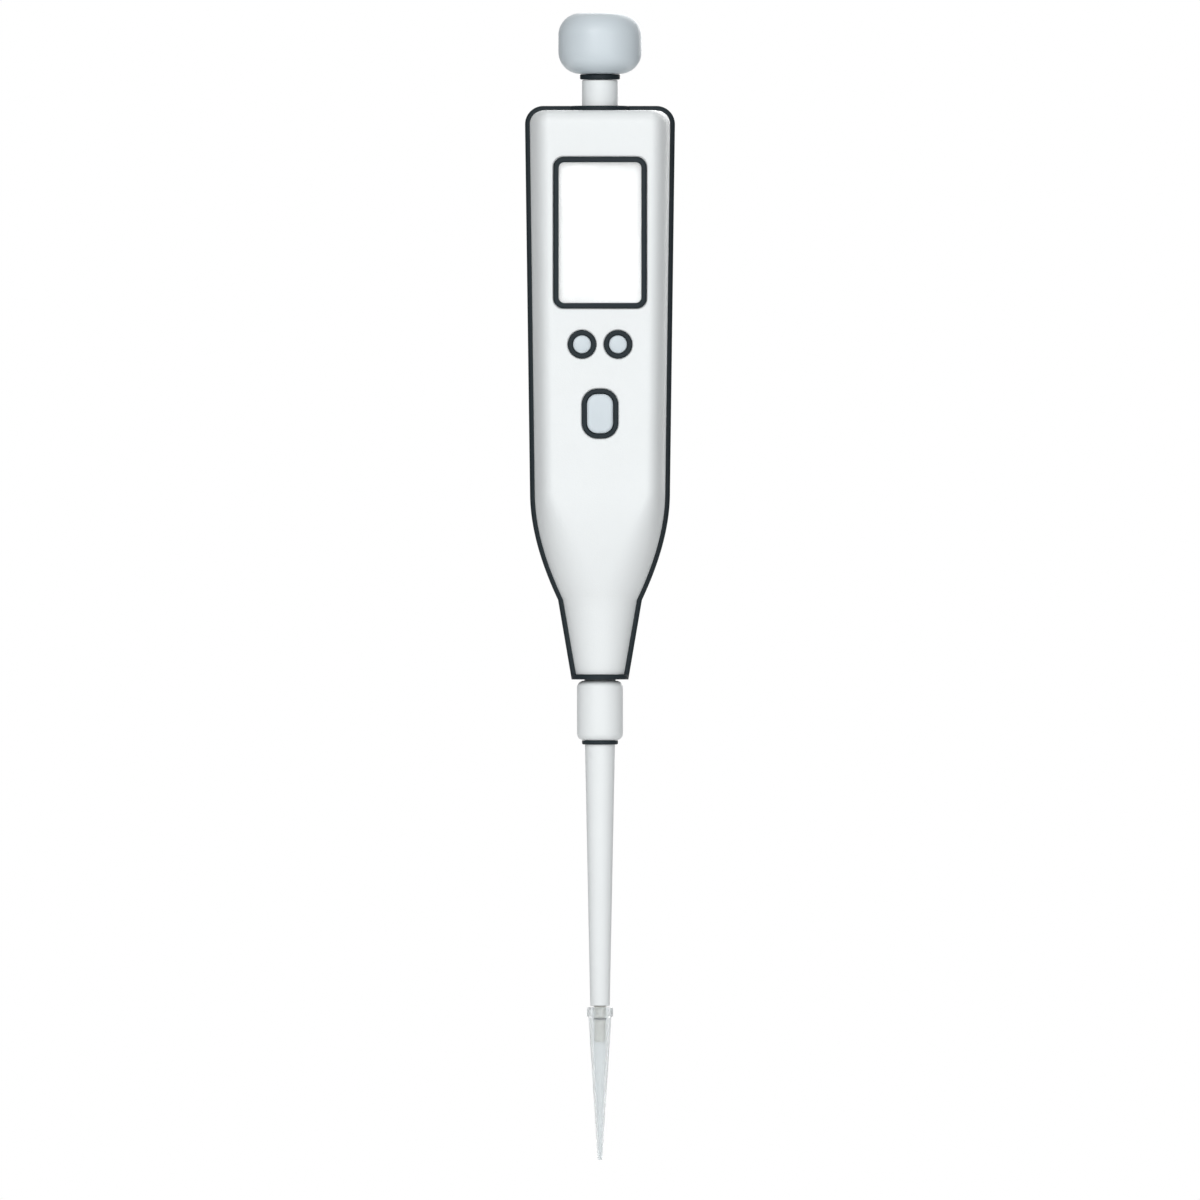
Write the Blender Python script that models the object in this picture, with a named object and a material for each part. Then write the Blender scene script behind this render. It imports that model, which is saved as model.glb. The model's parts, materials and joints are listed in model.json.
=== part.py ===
"""Electronic pipette of the 20 microlitre class.

Two half shells clamp a dark rubber seal that shows as a line round the body.
Inside, a stepper motor turns a nut that drives a lead screw and a thin piston.
The knob on top pushes a yoke, which slides the sleeve down and drops the tip.

The model is drawn round the piston axis, with height 0 at the foot of the body.
The front, with the display and the keys, faces -Y. The empty named assembly
then moves everything, so that the origin is the middle of the hook's underside.
"""

import math

import bmesh
import bpy
from mathutils import Vector

MM = 0.001

# Clearances
GAP = 0.3 * MM  # between pieces that touch on the real object
RUN = 0.4 * MM  # round a piece that slides or turns
THREAD_GAP = 0.25 * MM  # between a screw's shank and its hole

# Facets
ROUND_STEPS = 20  # sides of a large turned piece
SMALL_STEPS = 12  # sides of a small turned piece
CORNER_STEPS = 4  # steps in a rounded corner
SIDE_STEPS = 7  # steps round each side of the body
WAIST_STEPS = 7  # levels down the curved waist

# Heights, stacked up from the foot of the body
TRIGGER_LEVEL = 66.4 * MM
KEYS_ABOVE_TRIGGER = 17.3 * MM
DISPLAY_ABOVE_KEYS = 27.9 * MM
TOP_ABOVE_DISPLAY = 31.8 * MM

# Outline of the body from the front, out to the edge of the seal
RAIL_SIDE_ROOM = 0.9 * MM  # between the yoke's clearance and the wall, at the grip
SHOULDER_FLARE = 1.25 * MM  # how much wider the shoulders are than the grip
NECK_HALF_WIDTH = 10.5 * MM
WAIST_TOP = 46.1 * MM
WAIST_BEND = 34.4 * MM
WAIST_BOTTOM = 19.9 * MM
SHOULDER_RADIUS = 4.6 * MM

# Sections of the shells
SHELL_WALL = 1.6 * MM
FRONT_SIDE_WIDTH = 5.2 * MM  # from the flat front round to the widest point
REAR_SIDE_WIDTH = 13.2 * MM
GRIP_ROUNDNESS = 2.3  # exponent of the sides: 2 is an ellipse, more is squarer

# Seal between the shells
SEAL_THICKNESS = 2.4 * MM
SEAL_PROUD = 1.2 * MM
SEAL_EDGE_RADIUS = 1.0 * MM
SEAL_EDGE_STEPS = 3
STEM_RING_WALL = 2.4 * MM
STEM_RING_HEIGHT = 2.5 * MM
BASE_RING_HEIGHT = 1.25 * MM

# Ejector: knob, stem, yoke, collar and sleeve slide as one
EJECT_TRAVEL = 6.0 * MM
KNOB_RADIUS = 10.4 * MM
KNOB_HEIGHT = 15.2 * MM
KNOB_EDGE_RADIUS = 5.5 * MM
KNOB_EDGE_STEPS = 5
WASHER_RADIUS = 5.0 * MM
WASHER_HEIGHT = 0.9 * MM
STEM_RADIUS = 4.5 * MM
STEM_SHOWN = 6.5 * MM
STEM_LENGTH = 25.6 * MM
STEM_TOP_PEG_RADIUS = 2.6 * MM
STEM_TOP_PEG_DEPTH = 6.6 * MM
STEM_FOOT_PEG_RADIUS = 1.7 * MM
BUSH_WALL = 1.5 * MM
BUSH_HEIGHT = 7.2 * MM
BUSH_FLANGE_RADIUS = 8.4 * MM
BUSH_FLANGE_HEIGHT = 1.5 * MM
YOKE_PLATE_HEIGHT = 2.5 * MM
YOKE_PLATE_HALF_DEPTH = 4.0 * MM
RAIL_THICKNESS = 1.2 * MM
RAIL_HALF_DEPTH = 1.6 * MM
RAIL_FOOT = 10.0 * MM
YOKE_RING_HEIGHT = 4.0 * MM
YOKE_RING_RADIUS = 4.55 * MM
YOKE_TUBE_RADIUS = 3.9 * MM
YOKE_TUBE_BORE = 3.0 * MM
YOKE_TUBE_DEPTH = 4.3 * MM  # how far it reaches below the body
SPRING_LENGTH = 15.9 * MM
SPRING_MEAN_RADIUS = 4.7 * MM
SPRING_WIRE_RADIUS = 0.45 * MM
SPRING_TURNS = 6
SPRING_STEPS = 12  # steps in one turn
SPRING_WIRE_SIDES = 5
COLLAR_RADIUS = 5.75 * MM
COLLAR_HEIGHT = 14.9 * MM
COLLAR_EDGE_RADIUS = 2.0 * MM
COLLAR_SLEEVE_DEPTH = 3.4 * MM
END_RING_RADIUS = 4.5 * MM
END_RING_HEIGHT = 0.75 * MM
SLEEVE_TOP_RADIUS = 3.75 * MM
SLEEVE_END_RADIUS = 2.45 * MM
SLEEVE_WALL = 0.6 * MM
SLEEVE_SHOWN = 65.3 * MM

# Nozzle and tip
NOZZLE_FLANGE_RADIUS = 4.0 * MM
NOZZLE_FLANGE_HEIGHT = 1.7 * MM
NOZZLE_FLANGE_LEVEL = 16.3 * MM
NOZZLE_NECK_RADIUS = 2.6 * MM
NOZZLE_CONE_RADIUS = 1.5 * MM
NOZZLE_END_RADIUS = 1.35 * MM
NOZZLE_CONE_LENGTH = 9.0 * MM
NOZZLE_AIR_RADIUS = 0.5 * MM
O_RING_WIRE_RADIUS = 0.23 * MM
O_RING_BELOW_CONE = 3.2 * MM
TIP_LENGTH = 38.2 * MM
TIP_RIM_RADIUS = 3.25 * MM
TIP_END_RADIUS = 0.6 * MM
TIP_END_BORE = 0.3 * MM
TIP_RIM_HEIGHT = 2.4 * MM

# Piston drive
PISTON_TRAVEL = 12.0 * MM
PISTON_RADIUS = 0.75 * MM
PISTON_LENGTH = 50.0 * MM
PISTON_SEAL_HEIGHT = 1.5 * MM
PISTON_SEAL_RADIUS = 3.4 * MM
GLAND_HEIGHT = 1.5 * MM
CARRIAGE_RADIUS = 3.8 * MM
CARRIAGE_HEIGHT = 4.0 * MM
CARRIAGE_EAR_HALF_WIDTH = 1.0 * MM
CARRIAGE_EAR_REACH = 5.3 * MM
SCREW_RADIUS = 1.5 * MM
SCREW_LENGTH = 43.0 * MM
MOTOR_RADIUS = 7.0 * MM
MOTOR_HEIGHT = 17.0 * MM
MOTOR_WALL = 0.5 * MM
MOTOR_PLATE_HEIGHT = 0.8 * MM
MOTOR_COVER_HEIGHT = 1.4 * MM
ROTOR_RADIUS = 3.4 * MM
JOURNAL_RADIUS = 2.6 * MM
BEARING_WALL = 1.1 * MM
BEARING_HEIGHT = 1.8 * MM

# Inner frame
FRAME_WALL = 1.2 * MM
FRAME_SIDE_MARGIN = 1.9 * MM  # past the middle of the low screws
FRAME_FRONT = -7.5 * MM
SOCKET_WALL = 1.3 * MM
SOCKET_LEDGE = 1.4 * MM
MOTOR_SHELF_LEVEL = 42.2 * MM
SHELF_HEIGHT = 1.5 * MM
MOTOR_SHELF_HALF_WIDTH = 9.0 * MM
BATTERY_WALL_BACK = 5.9 * MM
SPRING_SEAT_HEIGHT = 2.0 * MM

# Display
BEZEL_HALF_WIDTH = 11.625 * MM
BEZEL_HALF_HEIGHT = 18.875 * MM
BEZEL_CORNER = 2.5 * MM
BEZEL_WIDTH = 1.3 * MM
BEZEL_PROUD = 0.7 * MM
WINDOW_PROUD = 0.3 * MM
PANEL_HALF_WIDTH = 11.0 * MM
PANEL_HALF_HEIGHT = 18.2 * MM

# Keys
KEY_SPACING = 9.0 * MM
KEY_RADIUS = 2.25 * MM
KEY_PROUD = 1.0 * MM
KEY_TRAVEL = 0.6 * MM
TRIGGER_HALF_WIDTH = 3.25 * MM
TRIGGER_HALF_HEIGHT = 4.9 * MM
TRIGGER_CORNER = 2.6 * MM
TRIGGER_PROUD = 1.5 * MM
TRIGGER_TRAVEL = 1.0 * MM
KEY_FLANGE = 0.7 * MM  # how far a key's flange reaches past its cap
KEY_FLANGE_THICKNESS = 0.45 * MM
RING_WIDTH = 0.95 * MM
RING_PROUD = 0.5 * MM
KEYPAD_SHEET = 0.4 * MM
KEYPAD_MARGIN = 2.2 * MM
SWITCH_HALF_WIDTH = 1.6 * MM
TRIGGER_SWITCH_HEIGHT = 0.55 * MM

# Board and battery
BOARD_THICKNESS = 1.0 * MM
BOARD_HALF_WIDTH = 11.6 * MM
BOARD_BELOW_TRIGGER = 6.9 * MM
BOARD_BELOW_FRAME_TOP = 1.4 * MM
BATTERY_HALF_WIDTH = 9.2 * MM
BATTERY_THICKNESS = 6.4 * MM
BATTERY_ABOVE_WALL = 0.2 * MM
BATTERY_COVER_ROOM = 1.8 * MM  # between the battery and the middle of its cover
BATTERY_CORNER = 1.6 * MM
CONNECTOR_HALF_WIDTH = 4.5 * MM
CONNECTOR_HEIGHT = 3.2 * MM
COVER_HALF_WIDTH = 11.2 * MM
COVER_MARGIN = 0.4 * MM  # past each end of the battery
COVER_PULL = 10.0 * MM
GRIP_DENT_RADIUS = 6.0 * MM
GRIP_DENT_DEPTH = 0.7 * MM

# Finger hook
HOOK_PAD_HALF_WIDTH = 8.0 * MM
HOOK_PAD_PROUD = 0.6 * MM
HOOK_HALF_WIDTH = 8.6 * MM
HOOK_BELOW_TOP = 25.4 * MM
HOOK_THICKNESS = 5.0 * MM
HOOK_BASE_THICKNESS = 2.2 * MM
HOOK_BASE_ABOVE = 10.0 * MM
HOOK_BASE_BELOW = 4.5 * MM
HOOK_REACH = 13.0 * MM  # clear depth between the base and the lip
HOOK_LIP_THICKNESS = 3.4 * MM
HOOK_LIP_DROP = 5.5 * MM
HOOK_EDGE = 0.6 * MM
HOOK_PEG_RADIUS = 1.8 * MM

# Charging contacts
CONTACT_LEVEL = 56.5 * MM
CONTACT_SPACING = 7.0 * MM
CONTACT_RADIUS = 1.3 * MM
CONTACT_FLANGE_RADIUS = 2.2 * MM
CONTACT_FLANGE_HEIGHT = 0.8 * MM
CONTACT_PAD_HALF_WIDTH = 6.4 * MM
CONTACT_PAD_HALF_HEIGHT = 4.0 * MM
CONTACT_PAD_PROUD = 0.6 * MM
CONTACT_RECESS = 0.2 * MM

# Screws that clamp the shells
TOP_SCREW_FROM_SIDE = 6.75 * MM
TOP_SCREW_BELOW_TOP = 7.4 * MM
LOW_SCREW_ABOVE_MOTOR = 8.0 * MM
SCREW_SHANK_RADIUS = 0.8 * MM
SCREW_HEAD_RADIUS = 1.7 * MM
SCREW_HEAD_HEIGHT = 1.4 * MM
SCREW_SEAT = 10.2 * MM  # depth from the piston axis to the underside of a head
SCREW_BITE = 3.0 * MM  # how far a shank goes into its front post
POST_RADIUS = 2.2 * MM
POST_HEAD_RADIUS = 2.9 * MM

# Colours in linear light: (red, green, blue), roughness, metallic
PALE = ((0.863, 0.896, 0.904), 0.45, 0.0)
BLUE_GREY = ((0.651, 0.723, 0.768), 0.45, 0.0)
SLATE = ((0.016, 0.026, 0.032), 0.65, 0.0)
WHITE = ((0.95, 0.95, 0.95), 0.3, 0.0)
CLEAR = ((0.92, 0.96, 0.97), 0.05, 0.0)
FROSTED = ((0.80, 0.84, 0.86), 0.25, 0.0)
STEEL = ((0.56, 0.57, 0.58), 0.3, 1.0)
BRASS = ((0.72, 0.52, 0.22), 0.3, 1.0)
GOLD = ((0.85, 0.62, 0.25), 0.2, 1.0)
COPPER = ((0.70, 0.33, 0.18), 0.4, 1.0)
GREEN = ((0.02, 0.16, 0.07), 0.4, 0.0)
GREY = ((0.25, 0.27, 0.28), 0.5, 0.0)
CREAM = ((0.78, 0.76, 0.70), 0.4, 0.0)
BLUE = ((0.05, 0.15, 0.35), 0.4, 0.0)

# Places that follow from the sizes above
KEY_LEVEL = TRIGGER_LEVEL + KEYS_ABOVE_TRIGGER
DISPLAY_LEVEL = KEY_LEVEL + DISPLAY_ABOVE_KEYS
BODY_HEIGHT = DISPLAY_LEVEL + TOP_ABOVE_DISPLAY
LOW_SCREW_X = MOTOR_RADIUS + RUN + POST_RADIUS
YOKE_HALF_WIDTH = LOW_SCREW_X + POST_RADIUS + RUN + RAIL_THICKNESS
SEAL_DEPTH = SEAL_PROUD + SHELL_WALL
GRIP_HALF_WIDTH = YOKE_HALF_WIDTH + RUN + RAIL_SIDE_ROOM + SEAL_DEPTH
SHOULDER_HALF_WIDTH = GRIP_HALF_WIDTH + SHOULDER_FLARE
FOOT_HALF_WIDTH = YOKE_TUBE_RADIUS + RUN + SEAL_DEPTH
TOP_SCREW_X = SHOULDER_HALF_WIDTH - TOP_SCREW_FROM_SIDE
TOP_SCREW_LEVEL = BODY_HEIGHT - TOP_SCREW_BELOW_TOP
FRAME_HALF_WIDTH = LOW_SCREW_X + FRAME_SIDE_MARGIN
HOOK_REST_LEVEL = BODY_HEIGHT - HOOK_BELOW_TOP
BOARD_BACK = FRAME_FRONT - GAP
BOARD_FRONT = BOARD_BACK - BOARD_THICKNESS
switch_room = GAP + TRIGGER_SWITCH_HEIGHT + GAP + TRIGGER_TRAVEL
keypad_room = KEY_FLANGE_THICKNESS + GAP + KEYPAD_SHEET + GAP
FRONT_DEPTH = SHELL_WALL + keypad_room + switch_room - BOARD_FRONT
BATTERY_FRONT = BATTERY_WALL_BACK + GAP
SHELF_BACK = BATTERY_FRONT + BATTERY_THICKNESS
REAR_DEPTH = SHELF_BACK + BATTERY_COVER_ROOM + SHELL_WALL
SHELL_TOP = BODY_HEIGHT - SEAL_PROUD
SHELL_FOOT = BASE_RING_HEIGHT + GAP
SHELL_EDGE_RADIUS = SHOULDER_RADIUS - SEAL_PROUD
CEILING = SHELL_TOP - SHELL_WALL
PARTING = SEAL_THICKNESS / 2 + GAP
FRONT_FACE = -FRONT_DEPTH
FRONT_INSIDE = FRONT_FACE + SHELL_WALL
STEM_BORE = STEM_RADIUS + RUN
STEM_RING_RADIUS = STEM_BORE + STEM_RING_WALL
TUBE_BORE = YOKE_TUBE_RADIUS + RUN
STEM_TOP = BODY_HEIGHT + STEM_SHOWN
STEM_FOOT = STEM_TOP - STEM_LENGTH
WASHER_LEVEL = STEM_TOP + GAP
KNOB_LEVEL = WASHER_LEVEL + WASHER_HEIGHT + GAP
YOKE_LEVEL = STEM_FOOT - GAP - YOKE_PLATE_HEIGHT
SPRING_TOP = YOKE_LEVEL - GAP
SPRING_FOOT = SPRING_TOP - SPRING_LENGTH
SPRING_SHELF_TOP = SPRING_FOOT - GAP
SPRING_SHELF_LEVEL = SPRING_SHELF_TOP - SHELF_HEIGHT
BUSH_TOP = CEILING - GAP
BUSH_FOOT = BUSH_TOP - BUSH_HEIGHT
FRAME_TOP = BUSH_FOOT - GAP
FRAME_BACK = FRAME_FRONT + FRAME_WALL
COLLAR_TOP = -GAP
COLLAR_FOOT = COLLAR_TOP - COLLAR_HEIGHT
END_RING_LEVEL = COLLAR_FOOT - GAP - END_RING_HEIGHT
SLEEVE_TOP = COLLAR_FOOT + COLLAR_SLEEVE_DEPTH
SLEEVE_END = END_RING_LEVEL - SLEEVE_SHOWN
TIP_TOP = SLEEVE_END - GAP
TIP_END = TIP_TOP - TIP_LENGTH
NOZZLE_END = SLEEVE_END - NOZZLE_CONE_LENGTH
PISTON_BORE = PISTON_RADIUS + GAP
FLANGE_TOP = NOZZLE_FLANGE_LEVEL + NOZZLE_FLANGE_HEIGHT
PISTON_SEAL_LEVEL = FLANGE_TOP + GAP
GLAND_LEVEL = PISTON_SEAL_LEVEL + PISTON_SEAL_HEIGHT + GAP
CARRIAGE_LEVEL = GLAND_LEVEL + GLAND_HEIGHT + 2 * GAP
SOCKET_BORE = NOZZLE_FLANGE_RADIUS + GAP
SOCKET_RADIUS = SOCKET_BORE + SOCKET_WALL
SOCKET_FOOT = NOZZLE_FLANGE_LEVEL - GAP - SOCKET_LEDGE
MOTOR_LEVEL = MOTOR_SHELF_LEVEL + SHELF_HEIGHT + GAP
MOTOR_TOP = MOTOR_LEVEL + MOTOR_HEIGHT
LOW_SCREW_LEVEL = MOTOR_LEVEL + LOW_SCREW_ABOVE_MOTOR
BATTERY_SHELF_LEVEL = MOTOR_TOP + GAP
BATTERY_SHELF_TOP = BATTERY_SHELF_LEVEL + SHELF_HEIGHT
CONNECTOR_LEVEL = BATTERY_SHELF_TOP + GAP
BATTERY_LEVEL = CONNECTOR_LEVEL + CONNECTOR_HEIGHT + GAP
BATTERY_HEIGHT = SPRING_SHELF_TOP + BATTERY_ABOVE_WALL - BATTERY_LEVEL
COVER_LEVEL = BATTERY_LEVEL - COVER_MARGIN
COVER_HEIGHT = BATTERY_HEIGHT + 2 * COVER_MARGIN
SCREW_BORE = SCREW_RADIUS + RUN
BOARD_FOOT = TRIGGER_LEVEL - BOARD_BELOW_TRIGGER
BOARD_TOP = FRAME_TOP - BOARD_BELOW_FRAME_TOP
PANEL_FRONT = FRONT_INSIDE
HOOK_PAD_FACE = REAR_DEPTH + HOOK_PAD_PROUD
HOOK_FRONT = HOOK_PAD_FACE + GAP
HOOK_INNER = HOOK_FRONT + HOOK_BASE_THICKNESS
HOOK_REST_DEPTH = HOOK_INNER + HOOK_REACH / 2
CONTACT_PAD_FACE = REAR_DEPTH + CONTACT_PAD_PROUD
OUTSIDE = 10 * MM  # how far a tool runs past the surface that it cuts


def clear_scene():
    """Remove whatever the scene holds."""
    for thing in list(bpy.data.objects):
        bpy.data.objects.remove(thing, do_unlink=True)


def add_empty(name, parent=None, location=(0, 0, 0)):
    """An empty that places the pieces under it."""
    empty = bpy.data.objects.new(name, None)
    empty.empty_display_size = OUTSIDE
    empty.parent = parent
    empty.location = location
    bpy.context.collection.objects.link(empty)
    return empty


def add_piece(name, bm, parent, finish, location=(0, 0, 0), turn=(0, 0, 0)):
    """Turn a closed bmesh into an object with its own material, shaded smooth."""
    bmesh.ops.remove_doubles(bm, verts=bm.verts[:], dist=1e-7)
    bmesh.ops.recalc_face_normals(bm, faces=bm.faces[:])
    mesh = bpy.data.meshes.new(name)
    bm.to_mesh(mesh)
    bm.free()
    mesh.shade_smooth()
    mesh.set_sharp_from_angle(angle=math.radians(35))
    piece = bpy.data.objects.new(name, mesh)
    piece.parent = parent
    piece.location = location
    piece.rotation_euler = turn
    bpy.context.collection.objects.link(piece)
    if finish is None:
        piece.hide_render = True
        piece.display_type = "WIRE"
        return piece
    colour, roughness, metallic = finish
    material = bpy.data.materials.new(name + "_finish")
    material.use_nodes = True
    shader = material.node_tree.nodes["Principled BSDF"]
    shader.inputs["Base Color"].default_value = (*colour, 1.0)
    shader.inputs["Roughness"].default_value = roughness
    shader.inputs["Metallic"].default_value = metallic
    material.diffuse_color = (*colour, 1.0)
    mesh.materials.append(material)
    return piece


def skin(rings, closed=False, bm=None):
    """Join rings of points with faces, and cap both ends unless it is closed."""
    bm = bm or bmesh.new()
    loops = [[bm.verts.new(point) for point in ring] for ring in rings]
    pairs = list(zip(loops, loops[1:]))
    if closed:
        pairs.append((loops[-1], loops[0]))
    else:
        bm.faces.new(loops[0])
        bm.faces.new(loops[-1])
    for lower, upper in pairs:
        for here in range(len(lower)):
            after = (here + 1) % len(lower)
            bm.faces.new((lower[here], lower[after], upper[after], upper[here]))
    return bm


def spin_profile(profile, steps):
    """Spin a closed profile of (radius, height) points round the Z axis."""
    bm = bmesh.new()
    verts = [bm.verts.new((radius, 0, height)) for radius, height in profile]
    edges = []
    for start, end in zip(verts, verts[1:] + verts[:1]):
        if start.co.x > 0 or end.co.x > 0:
            edges.append(bm.edges.new((start, end)))
    bmesh.ops.spin(
        bm,
        geom=verts + edges,
        cent=(0, 0, 0),
        axis=(0, 0, 1),
        angle=math.tau,
        steps=steps,
        use_merge=True,
    )
    return bm


def disc(radius, bottom, top):
    """Profile of a plain cylinder on the axis."""
    return [(0, bottom), (radius, bottom), (radius, top), (0, top)]


def tube(bore, radius, bottom, top):
    """Profile of a plain tube round the axis."""
    return [(bore, bottom), (radius, bottom), (radius, top), (bore, top)]


def arc(centre, radius, start, end, steps):
    """Points on an arc, with angles in degrees."""
    points = []
    for step in range(steps + 1):
        angle = math.radians(start + (end - start) * step / steps)
        x = centre[0] + radius * math.cos(angle)
        y = centre[1] + radius * math.sin(angle)
        points.append((x, y))
    return points


def rounded_outline(half_width, half_height, radius, steps=CORNER_STEPS):
    """Corners of a rounded rectangle, as (x, z) points."""
    x = half_width - radius
    z = half_height - radius
    points = arc((x, z), radius, 0, 90, steps)
    points += arc((-x, z), radius, 90, 180, steps)
    points += arc((-x, -z), radius, 180, 270, steps)
    points += arc((x, -z), radius, 270, 360, steps)
    return points


def ring_at(outline, depth):
    """An (x, z) outline as a ring of points that stands at one depth."""
    return [(x, depth, z) for x, z in outline]


def box(low, high):
    """A box between two corners."""
    bm = bmesh.new()
    bmesh.ops.create_cube(bm, size=1)
    size = Vector(high) - Vector(low)
    bmesh.ops.scale(bm, vec=size, verts=bm.verts)
    bmesh.ops.translate(bm, vec=(Vector(low) + Vector(high)) / 2, verts=bm.verts)
    return bm


def combine(piece, tool, operation):
    """Cut a piece with a tool, add the tool to it, or keep what they share."""
    modifier = piece.modifiers.new(tool.name, "BOOLEAN")
    modifier.operation = operation
    modifier.solver = "EXACT"
    modifier.object = tool


def cut(piece, *tools):
    """Cut each tool out of a piece."""
    for tool in tools:
        combine(piece, tool, "DIFFERENCE")


def join(piece, *tools):
    """Add each tool to a piece."""
    for tool in tools:
        combine(piece, tool, "UNION")


def along_y(name, parent, sections, places, steps=SMALL_STEPS):
    """Round tools that run front to back, with (radius, depth) sections."""
    bm = bmesh.new()
    for x, z in places:
        rings = []
        for radius, depth in sections:
            circle = arc((x, z), radius, 0, 360, steps)[:-1]
            rings.append(ring_at(circle, depth))
        skin(rings, bm=bm)
    return add_piece(name, bm, parent, None)


def along_z(name, parent, radius, bottom, top, steps=ROUND_STEPS):
    """A round tool on the piston axis."""
    bm = spin_profile(disc(radius, 0, top - bottom), steps)
    return add_piece(name, bm, parent, None, (0, 0, bottom))


# Form of the body


def upper_taper():
    """How much the half width grows with height above the waist."""
    rise = BODY_HEIGHT - SHOULDER_RADIUS - WAIST_TOP
    return (SHOULDER_HALF_WIDTH - GRIP_HALF_WIDTH) / rise


def waist_share(height):
    """Place along the waist curve: 0 at its top, 1 at its bottom."""
    if height >= WAIST_TOP:
        return 0.0
    if height <= WAIST_BOTTOM:
        return 1.0
    bend = WAIST_TOP - 2 * WAIST_BEND + WAIST_BOTTOM
    slope = 2 * (WAIST_BEND - WAIST_TOP)
    offset = WAIST_TOP - height
    root = math.sqrt(slope * slope - 4 * bend * offset)
    return 2 * offset / (root - slope)


def waist_curve(top, middle, bottom, share):
    """A value on the curve that starts at top and bends towards bottom."""
    first = (1 - share) ** 2 * top
    second = 2 * share * (1 - share) * middle
    return first + second + share**2 * bottom


def body_half_width(height):
    """Half width of the body, out to the edge of the seal."""
    if height >= WAIST_TOP:
        return GRIP_HALF_WIDTH + (height - WAIST_TOP) * upper_taper()
    if height <= WAIST_BOTTOM:
        widening = (NECK_HALF_WIDTH - FOOT_HALF_WIDTH) / WAIST_BOTTOM
        return FOOT_HALF_WIDTH + height * widening
    middle = GRIP_HALF_WIDTH - (WAIST_TOP - WAIST_BEND) * upper_taper()
    share = waist_share(height)
    return waist_curve(GRIP_HALF_WIDTH, middle, NECK_HALF_WIDTH, share)


def shell_half_width(height):
    """Half width of the shells, which the seal stands proud of."""
    return body_half_width(height) - SEAL_PROUD


def shell_depth(height, full_depth):
    """Depth of a shell: full above the waist, round below it."""
    if height <= WAIST_BOTTOM:
        return shell_half_width(height)
    neck = NECK_HALF_WIDTH - SEAL_PROUD
    return waist_curve(full_depth, full_depth, neck, waist_share(height))


def shell_section(height, inset, side, overrun=None):
    """Ring of a half shell. Side is -1 for the front and 1 for the rear."""
    full_depth = FRONT_DEPTH if side < 0 else REAR_DEPTH
    side_width = FRONT_SIDE_WIDTH if side < 0 else REAR_SIDE_WIDTH
    share = waist_share(height)
    half = shell_half_width(height) - inset
    depth = shell_depth(height, full_depth) - inset
    flat = (shell_half_width(height) - side_width) * (1 - share)
    power = GRIP_ROUNDNESS * (1 - share) + 2 * share
    start = math.asin((PARTING / depth) ** (power / 2))
    corner = []
    for step in range(SIDE_STEPS + 1):
        angle = start + (math.pi / 2 - start) * step / SIDE_STEPS
        x = flat + (half - flat) * max(math.cos(angle), 0) ** (2 / power)
        y = depth * math.sin(angle) ** (2 / power)
        corner.append((x, side * y, height))
    ring = corner + [(-x, y, z) for x, y, z in reversed(corner)]
    if overrun is not None:
        edge = corner[0][0]
        ring += [(-edge, -side * overrun, height), (edge, -side * overrun, height)]
    return ring


def side_levels(foot):
    """Heights at which a section is drawn, below the shoulder."""
    levels = [foot]
    for step in range(WAIST_STEPS + 1):
        share = 1 - step / WAIST_STEPS
        levels.append(waist_curve(WAIST_TOP, WAIST_BEND, WAIST_BOTTOM, share))
    levels.append((WAIST_TOP + DISPLAY_LEVEL) / 2)
    return levels


def shell_rings(side, inset, top, edge_radius, foot, overrun=None):
    """Rings of a half shell from its foot up over its rounded shoulder."""
    rings = [
        shell_section(level, inset, side, overrun) for level in side_levels(foot)
    ]
    for out, up in arc((0, 0), 1, 0, 90, CORNER_STEPS):
        level = top - edge_radius * (1 - up)
        rings.append(
            shell_section(level, inset + edge_radius * (1 - out), side, overrun)
        )
    return rings


def seal_loop(inset, depth):
    """The body's outline, drawn in by inset, as a ring at one depth."""
    foot = min(inset, BASE_RING_HEIGHT)
    right = [(body_half_width(z) - inset, z) for z in side_levels(foot)]
    shoulder = BODY_HEIGHT - SHOULDER_RADIUS
    centre = (body_half_width(shoulder) - SHOULDER_RADIUS, shoulder)
    right += arc(centre, SHOULDER_RADIUS - inset, 0, 90, CORNER_STEPS)
    outline = right + [(-x, z) for x, z in reversed(right)]
    return ring_at(outline, depth)


clear_scene()
assembly = add_empty("assembly", None, (0, -HOOK_REST_DEPTH, -HOOK_REST_LEVEL))
ejector = add_empty("ejector", assembly)
tip_holder = add_empty("tip_holder", ejector)
rotor = add_empty("rotor", assembly)
plunger = add_empty("plunger", assembly)

# Seal: a rubber frame between the shells, with rings for the stem and the tube
seal_half = SEAL_THICKNESS / 2
seal_edge = arc(
    (SEAL_EDGE_RADIUS, seal_half - SEAL_EDGE_RADIUS),
    SEAL_EDGE_RADIUS,
    90,
    180,
    SEAL_EDGE_STEPS,
)
seal_profile = [(SEAL_DEPTH, seal_half)] + seal_edge
seal_profile += [(inset, -depth) for inset, depth in reversed(seal_profile)]
shell_seal = add_piece(
    "shell_seal",
    skin([seal_loop(inset, depth) for inset, depth in seal_profile], closed=True),
    assembly,
    SLATE,
)
stem_ring = along_z(
    "stem_ring_tool",
    assembly,
    STEM_RING_RADIUS,
    BODY_HEIGHT - STEM_RING_HEIGHT,
    BODY_HEIGHT,
)
base_ring = along_z(
    "base_ring_tool", assembly, FOOT_HALF_WIDTH, 0, BASE_RING_HEIGHT
)
stem_bore = along_z(
    "stem_bore_tool", assembly, STEM_BORE, CEILING - OUTSIDE, BODY_HEIGHT + OUTSIDE
)
tube_bore = along_z(
    "tube_bore_tool", assembly, TUBE_BORE, -OUTSIDE, BASE_RING_HEIGHT + OUTSIDE
)
join(shell_seal, stem_ring, base_ring)
cut(shell_seal, stem_bore, tube_bore)

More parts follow.
